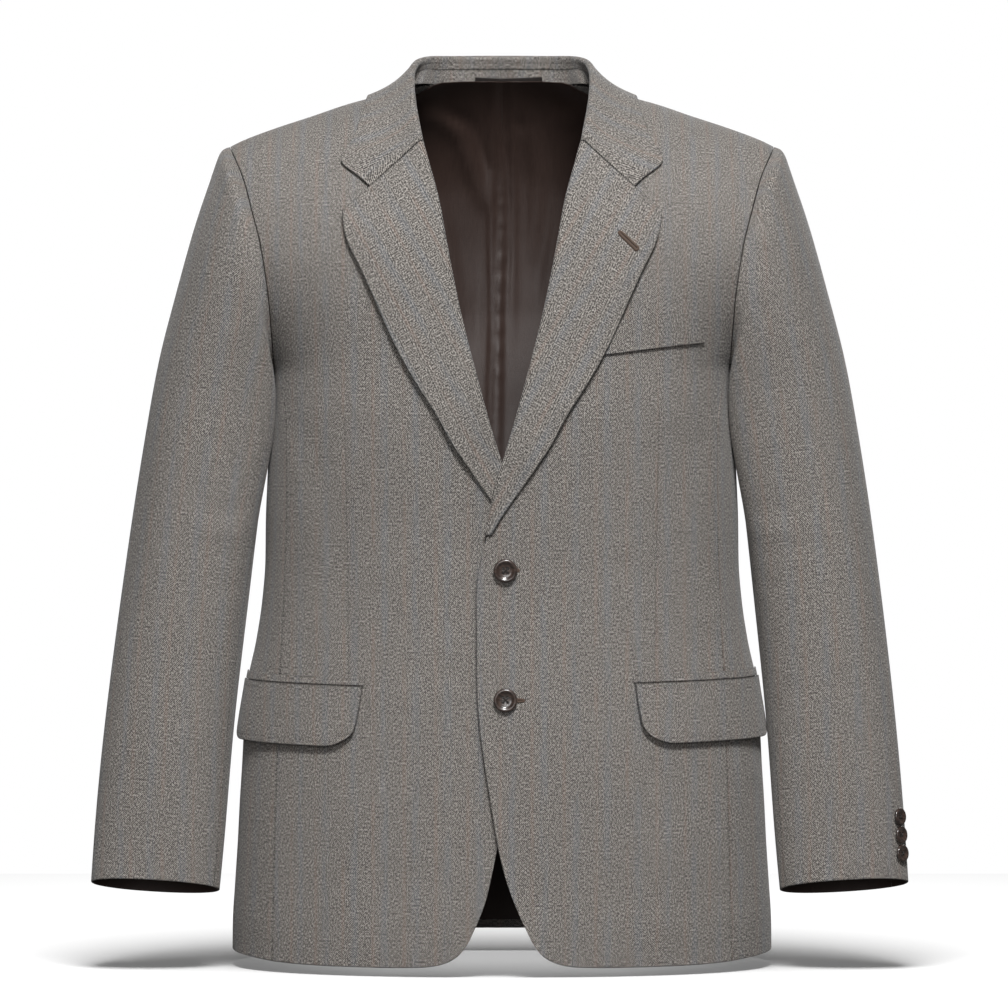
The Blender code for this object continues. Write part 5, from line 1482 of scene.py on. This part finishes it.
def laid_on(tree, centre, along_it, flat):
    """Points given as (along, across, height) over a surface that faces forward, near a centre."""
    out = np.array((0.0, -1.0, 0.0))
    along_it = unit(np.array(along_it, float))
    across = np.cross(out, along_it)
    placed = []
    for a, b, height in flat:
        near = np.array(centre) + along_it * a + across * b
        spot, normal, _, _ = tree.find_nearest(Vector(near))
        normal = np.array(normal)
        if np.dot(normal, out) < 0:
            normal = -normal
        placed.append(np.array(spot) + normal * height)
    return np.array(placed)


def ring_faces(rows, cols, closed_rows=True, closed_cols=True):
    """Faces of a grid whose first row or column follows on its last."""
    index = np.arange(rows * cols).reshape(rows, cols)
    if closed_rows:
        index = np.concatenate([index, index[:1]])
    if closed_cols:
        index = np.concatenate([index, index[:, :1]], axis=1)
    return [tuple(q) for q in quads(index).tolist()]


def buttonhole(name, on, centre, along_it, length, bar, eye=0.0):
    """A worked buttonhole: a bar of thread all round a slit, its far end opened to an eye."""
    tree = tree_of(on)
    turns = 72
    around = np.linspace(0, 2 * math.pi, turns, endpoint=False)
    half = length / 2
    path = []
    for turn in around:
        c, s = math.cos(turn), math.sin(turn)
        a = (half - bar) * np.sign(c) * abs(c) ** 0.45
        wide = 0.62 * bar + eye * math.exp(-(((a - half + 2.6) / 1.7) ** 2))
        path.append((a, wide * np.sign(s) * abs(s) ** 0.55))
    path = np.array(path)
    tangent = unit(np.roll(path, -1, axis=0) - np.roll(path, 1, axis=0))
    side = np.column_stack([tangent[:, 1], -tangent[:, 0]])
    flat, coords = [], []
    travelled = line_lengths(path)
    for k in range(turns):
        ridge = 1 + 0.10 * math.sin(k * math.pi * 0.9)
        for j in range(9):
            turn = math.pi * j / 8
            reach = 0.62 * bar * ridge
            offset = path[k] + side[k] * reach * math.cos(turn)
            flat.append((offset[0], offset[1], -0.2 + 0.72 * bar * math.sin(turn) * ridge))
            coords.append((travelled[k], reach * (j - 4) / 4))
    points = laid_on(tree, centre, along_it, flat)
    starts = [(k * 9, (k + 1) % turns * 9) for k in range(turns)]
    under = [(one, two, two + 8, one + 8) for one, two in starts]
    faces = fix_winding(points, ring_faces(turns, 9, closed_cols=False) + under)
    ring = add_piece(name, points, faces, (THREAD,), maps={"cloth": np.array(coords)})
    # Painted shade: a near-black closed piece fills the slit, where there is only shade.
    reach = [(a * 0.97, b * 0.75, 0.12) for a, b in path]
    count = len(reach)
    low = [(a, b, -0.5) for a, b, _ in reach]
    slit_shade_points = laid_on(tree, centre, along_it, reach + low)
    sides = [(k, (k + 1) % count, count + (k + 1) % count, count + k) for k in range(count)]
    caps = [tuple(range(count))[::-1], tuple(range(count, 2 * count))]
    uv = np.array([(a, b) for a, b, _ in reach + low])
    faces = fix_winding(slit_shade_points, sides + caps)
    gap = add_piece(
        f"{name}_slit", slit_shade_points, faces, (SLIT_SHADE,), maps={"cloth": uv}, smooth=False
    )
    ON_SHEET.setdefault(on, []).extend([ring, gap])


def fix_winding(points, faces):
    """Faces turned so that the closed mesh's volume is positive."""
    volume = 0.0
    for face in faces:
        for k in range(1, len(face) - 1):
            a, b, c = points[face[0]], points[face[k]], points[face[k + 1]]
            volume += float(np.dot(a - points[0], np.cross(b - points[0], c - points[0])))
    return [tuple(f[::-1]) for f in faces] if volume < 0 else faces


def thread_run(line, radius, sides=8):
    """Points, faces and thread coordinates of a thread along a line, tapered to its ends."""
    line = np.array(line)
    tangent = unit(np.gradient(line, axis=0))
    helper = np.array((0.0, 0.0, 1.0)) if abs(tangent[0][2]) < 0.8 else np.array((0.0, 1.0, 0.0))
    one = unit(np.cross(tangent, helper))
    two = np.cross(tangent, one)
    count = len(line)
    travelled = line_lengths(line)
    points, coords = [], []
    for k in range(count):
        size = radius * (0.35 if k in (0, count - 1) else 1.0)
        for j in range(sides):
            turn = 2 * math.pi * j / sides
            points.append(line[k] + size * (one[k] * math.cos(turn) + two[k] * math.sin(turn)))
            coords.append((travelled[k], radius * 2 * math.pi * j / sides))
    faces = ring_faces(count, sides, closed_rows=False)
    faces += [tuple(range(sides)), tuple(range(count * sides - 1, (count - 1) * sides - 1, -1))]
    points = np.array(points)
    return points, fix_winding(points, faces), np.array(coords)


def add_threads(name, lines, radius, material):
    """Several short threads as one piece."""
    points, faces, coords, start = [], [], [], 0
    for line in lines:
        p, f, c = thread_run(line, radius)
        points.append(p)
        coords.append(c)
        faces += [tuple(i + start for i in face) for face in f]
        start += len(p)
    maps = {"cloth": np.concatenate(coords)}
    return add_piece(name, np.concatenate(points), faces, (material,), maps=maps)


def make_stand_stitches(stand):
    """A row of running stitches across the inside of the stand, through its felt."""
    tree = tree_of("collar_stand")
    lines = []
    for k in range(-11, 12):
        start = k * RUN_SPACING - RUN_LENGTH / 2
        x = np.linspace(start, start + RUN_LENGTH, 5)
        height = np.array((-0.15, 0.22, 0.3, 0.22, -0.15))
        line = []
        for one_x, one_height in zip(x, height):
            y = float(np.interp(abs(one_x), stand[:, 2, 0], stand[:, 2, 1]))
            near = Vector((one_x, y - 4, RUN_HEIGHT - abs(one_x) * 0.012))
            spot, normal, _, _ = tree.find_nearest(near)
            normal = np.array(normal) * (-1 if normal[1] > 0 else 1)
            line.append(np.array(spot) + normal * one_height)
        lines.append(line)
    stitches = add_threads("stand_stitches", lines, 0.28, GREY_THREAD)
    ON_SHEET.setdefault("collar_stand", []).append(stitches)


def make_buttonholes():
    for name, z in BUTTON_HEIGHTS:
        end = 16.6 if name == "upper" else 21.0
        centre = body_point(end - 11.5, float(z), "front") - (0, 4.0, 0)
        buttonhole(f"front_buttonhole_{name}", "front_left", centre, (1, 0, 0), 23.0, 1.7)
    centre = body_point(110.5, -134.0, "front") - (0, 8.0, 0)
    buttonhole("lapel_buttonhole", "lapel_left", centre, (0.707, 0, -0.707), 26.5, 2.3, eye=0.9)


# ---------------------------------------------------------------- buttons
def make_button(name, centre, normal, up, diameter, height, dished):
    """A turned horn button with a rounded rim, four thread holes and the thread crossing in them."""
    radius = diameter / 2
    profile = (
        (0.0, 0.0), (0.45, 0.0), (0.62, 0.0), (0.8, 0.07), (0.92, 0.2), (0.975, 0.38), (1.0, 0.58),
        (0.99, 0.72), (0.955, 0.86), (0.9, 0.95), (0.85, 1.0), (0.79, 0.985), (0.73, 0.93),
        (0.67, 0.84), (0.6, dished + 0.02), (0.52, dished - 0.03), (0.4, dished - 0.06),
        (0.2, dished - 0.075), (0.0, dished - 0.08),
    )
    normal = unit(np.array(normal, float))
    up = unit(np.array(up, float) - normal * np.dot(up, normal))
    across = np.cross(up, normal)

    def place(points):
        points = np.asarray(points, float)
        flat = points[:, :1] * across + points[:, 1:2] * up
        return np.array(centre) + flat + points[:, 2:] * normal

    segments = 64
    turn = np.linspace(0, 2 * math.pi, segments, endpoint=False)
    points = [(0.0, 0.0, profile[0][1] * height)]
    for r, h in profile[1:-1]:
        points += [
            (r * radius * c, r * radius * s, h * height) for c, s in zip(np.cos(turn), np.sin(turn))
        ]
    points.append((0.0, 0.0, profile[-1][1] * height))
    rings = len(profile) - 2
    faces = []
    for k in range(segments):
        m = (k + 1) % segments
        faces.append((0, 1 + m, 1 + k))
        last = 1 + (rings - 1) * segments
        faces.append((len(points) - 1, last + k, last + m))
        for i in range(rings - 1):
            a, b = 1 + i * segments, 1 + (i + 1) * segments
            faces.append((a + k, a + m, b + m, b + k))
    placed = place(points)
    body = add_piece(name, placed, fix_winding(placed, faces), (HORN,), node=name)
    spread, hole = diameter * 0.098, diameter * 0.062
    cut_points, cut_faces = [], []
    ring = np.linspace(0, 2 * math.pi, 20, endpoint=False)
    for sx, sy in ((1, 1), (-1, 1), (-1, -1), (1, -1)):
        start = len(cut_points)
        for h in (0.12 * height, height + 1.0):
            for c, s in zip(np.cos(ring), np.sin(ring)):
                cut_points.append((sx * spread + hole * c, sy * spread + hole * s, h))
        low, high = list(range(start, start + 20)), list(range(start + 20, start + 40))
        cut_faces += [(low[k - 1], low[k], high[k], high[k - 1]) for k in (*range(1, 20), 0)]
        cut_faces += [tuple(low[::-1]), tuple(high)]
    cut_placed = place(cut_points)
    mesh = bpy.data.meshes.new("thread_holes")
    mesh.from_pydata((cut_placed * MM).tolist(), [], fix_winding(cut_placed, cut_faces))
    cutter = bpy.data.objects.new("thread_holes", mesh)
    bpy.context.scene.collection.objects.link(cutter)
    cut = body.modifiers.new("thread_holes", "BOOLEAN")
    cut.operation, cut.solver, cut.object = "DIFFERENCE", "EXACT", cutter
    bpy.context.view_layer.update()
    done = bpy.data.meshes.new_from_object(body.evaluated_get(bpy.context.evaluated_depsgraph_get()))
    body.modifiers.clear()
    old, body.data = body.data, done
    bpy.data.meshes.remove(old)
    bpy.data.objects.remove(cutter)
    bpy.data.meshes.remove(mesh)
    lines = []
    low, high = (dished - 0.3) * height, (dished + 0.03) * height
    for one, two in (((1, 1), (-1, -1)), ((1, -1), (-1, 1))):
        for shift in (-0.3, 0.3):
            a, b = np.array(one) * spread, np.array(two) * spread
            slip = unit(np.array((-(b - a)[1], (b - a)[0]))) * shift
            path = [(a * (1 - t) + b * t) + slip for t in (-0.04, 0.0, 0.12, 0.5, 0.88, 1.0, 1.04)]
            heights = (low, high - 0.35, high, high + 0.1, high, high - 0.35, low)
            lines.append(place([(p[0], p[1], h) for p, h in zip(path, heights)]))
    add_threads(f"{name}_thread", lines, 0.3 * diameter / BUTTON_DIAMETER, BUTTON_THREAD)


def make_buttons():
    for name, z in BUTTON_HEIGHTS:
        x, z = np.array(BUTTON_X), np.array(float(z))
        out, _ = lap(x, z)
        normal = body_normal(x, z, "front")
        centre = body_point(x, z, "front") + normal * (out + 0.9)
        size = BUTTON_DIAMETER, BUTTON_THICK
        make_button(f"front_button_{name}", centre, normal, (0, 0, 1), *size, 0.68)
    for side in ("left", "right"):
        turn = CUFF_BUTTON_TURN[side]
        turned = np.array([1 if side == "left" else -1, 1, 1])
        levels = np.linspace(len(SLEEVE) - 4, len(SLEEVE) - 1, 400)
        heights = np.array([sleeve_surface(turn, level)[2] for level in levels])
        for k, z in enumerate(CUFF_BUTTON_HEIGHTS):
            level = float(np.interp(-z, -heights, levels))
            here = sleeve_surface(turn, level)
            along_sleeve = sleeve_surface(turn, level - 0.05) - here
            around = sleeve_surface(turn + 0.02, level) - sleeve_surface(turn - 0.02, level)
            normal = unit(np.cross(around, along_sleeve))
            if normal[0] < 0:
                normal = -normal
            centre = here + normal * 0.9
            make_button(
                f"cuff_button_{side}_{k + 1}", swung(centre, side) * turned, normal * turned,
                along_sleeve * turned, CUFF_BUTTON_DIAMETER, CUFF_BUTTON_THICK, 0.7,
            )


# ---------------------------------------------------------------- the jacket
# Each wool finish darkens its colour near every edge of a piece as painted shade, most on the pricked
# pieces.
WOOL = wool_herringbone("wool_herringbone")
WOOL_FRONT = wool_herringbone("wool_herringbone_front", dart=True)
WOOL_PRICKED = wool_herringbone("wool_herringbone_pricked", stitched=5.5, painted_edge_shade=0.55)
LINING = lining_twill("lining_twill", (0.026, 0.0145, 0.0115), (0.047, 0.0275, 0.0215))
LOOP_TAPE = lining_twill("loop_tape", (0.006, 0.0045, 0.004), (0.030, 0.022, 0.019))
HORN = polished_horn("polished_horn")
THREAD = twisted_thread("buttonhole_thread", (0.13, 0.085, 0.062), 0.55)
BUTTON_THREAD = twisted_thread("button_thread", (0.022, 0.016, 0.013), 0.45)
GREY_THREAD = twisted_thread("grey_thread", (0.30, 0.285, 0.265), 0.4)
SLIT_SHADE = slit_shade_finish("buttonhole_slit_shade")

make_fronts()
make_backs()
side_top = make_sides()
make_sleeves(side_top)
make_lapels()
stand = make_collar()
make_pockets()
make_lining()
make_hanger_loop(stand)
make_stand_stitches(stand)
make_buttonholes()
make_buttons()

# ---------------------------------------------------------------- floor, light and camera
floor_mesh = bpy.data.meshes.new("floor")
corners = [(-4, -3, FLOOR_Z), (4, -3, FLOOR_Z), (4, 1.0, FLOOR_Z), (-4, 1.0, FLOOR_Z)]
floor_mesh.from_pydata(corners, [], [(0, 1, 2, 3)])
# The camera sees the paper pale, and to all other rays it is dark, so that it throws little light up.
paper = Finish("pale_paper", Roughness=0.9, Emission_Color=(1, 1, 1, 1))
seen = paper.node("ShaderNodeLightPath")
paper.feed("Base Color", paper.mix(seen, (0.1, 0.1, 0.1), (0.86, 0.86, 0.86)))
paper.feed("Emission Strength", seen * PAPER_GLOW)
floor_mesh.materials.append(paper.material)
floor = bpy.data.objects.new("floor", floor_mesh)
bpy.context.scene.collection.objects.link(floor)

world = bpy.data.worlds.new("studio")
world.use_nodes = True
sky = world.node_tree
sky.nodes["Background"].inputs["Color"].default_value = (1.0, 1.0, 1.0, 1)
bright, seen = sky.nodes.new("ShaderNodeMix"), sky.nodes.new("ShaderNodeLightPath")
bright.inputs[2].default_value = WORLD_LIGHT
bright.inputs[3].default_value = 1.0  # the camera sees plain white
sky.links.new(seen.outputs["Is Camera Ray"], bright.inputs[0])
sky.links.new(bright.outputs[0], sky.nodes["Background"].inputs["Strength"])
bpy.context.scene.world = world
bpy.context.scene.view_settings.view_transform = "Standard"


def soft_light(name, place, aim, size, watts, lit):
    """A square lamp at a place, turned to an aim, that lights one collection only."""
    light = bpy.data.lights.new(name, "AREA")
    light.shape, light.size, light.energy = "SQUARE", size, watts
    lamp = bpy.data.objects.new(name, light)
    lamp.location = place
    lamp.rotation_euler = (Vector(aim) - Vector(place)).to_track_quat("-Z", "Y").to_euler()
    bpy.context.scene.collection.objects.link(lamp)
    lamp.light_linking.receiver_collection = lit


floor_only = bpy.data.collections.new("floor_only")
all_but_floor = bpy.data.collections.new("all_but_floor")
for group in (floor_only, all_but_floor):
    group.objects.link(floor)
all_but_floor.collection_objects[0].light_linking.link_state = "EXCLUDE"
soft_light("key", (0.45, -3.1, 2.6), (0, 0, -0.15), 1.2, 212, all_but_floor)
soft_light("fill", (-0.5, -4.6, 0.4), (0, 0, -0.3), 1.6, 42, all_but_floor)
soft_light("behind", (0.5, 3.6, 1.3), (0, 0, -0.3), 2.2, 70, all_but_floor)
soft_light("over_floor", (0.0, -0.45, 2.2), (0, 0.1, -0.8), 1.2, 122, floor_only)

lens = bpy.data.cameras.new("camera")
lens.sensor_width = 36.0
lens.lens = 164.2
camera = bpy.data.objects.new("camera", lens)
camera.location = (0.0018, -4.125, -0.364)
camera.rotation_euler = (math.pi / 2, 0, 0)
bpy.context.scene.collection.objects.link(camera)
bpy.context.scene.camera = camera
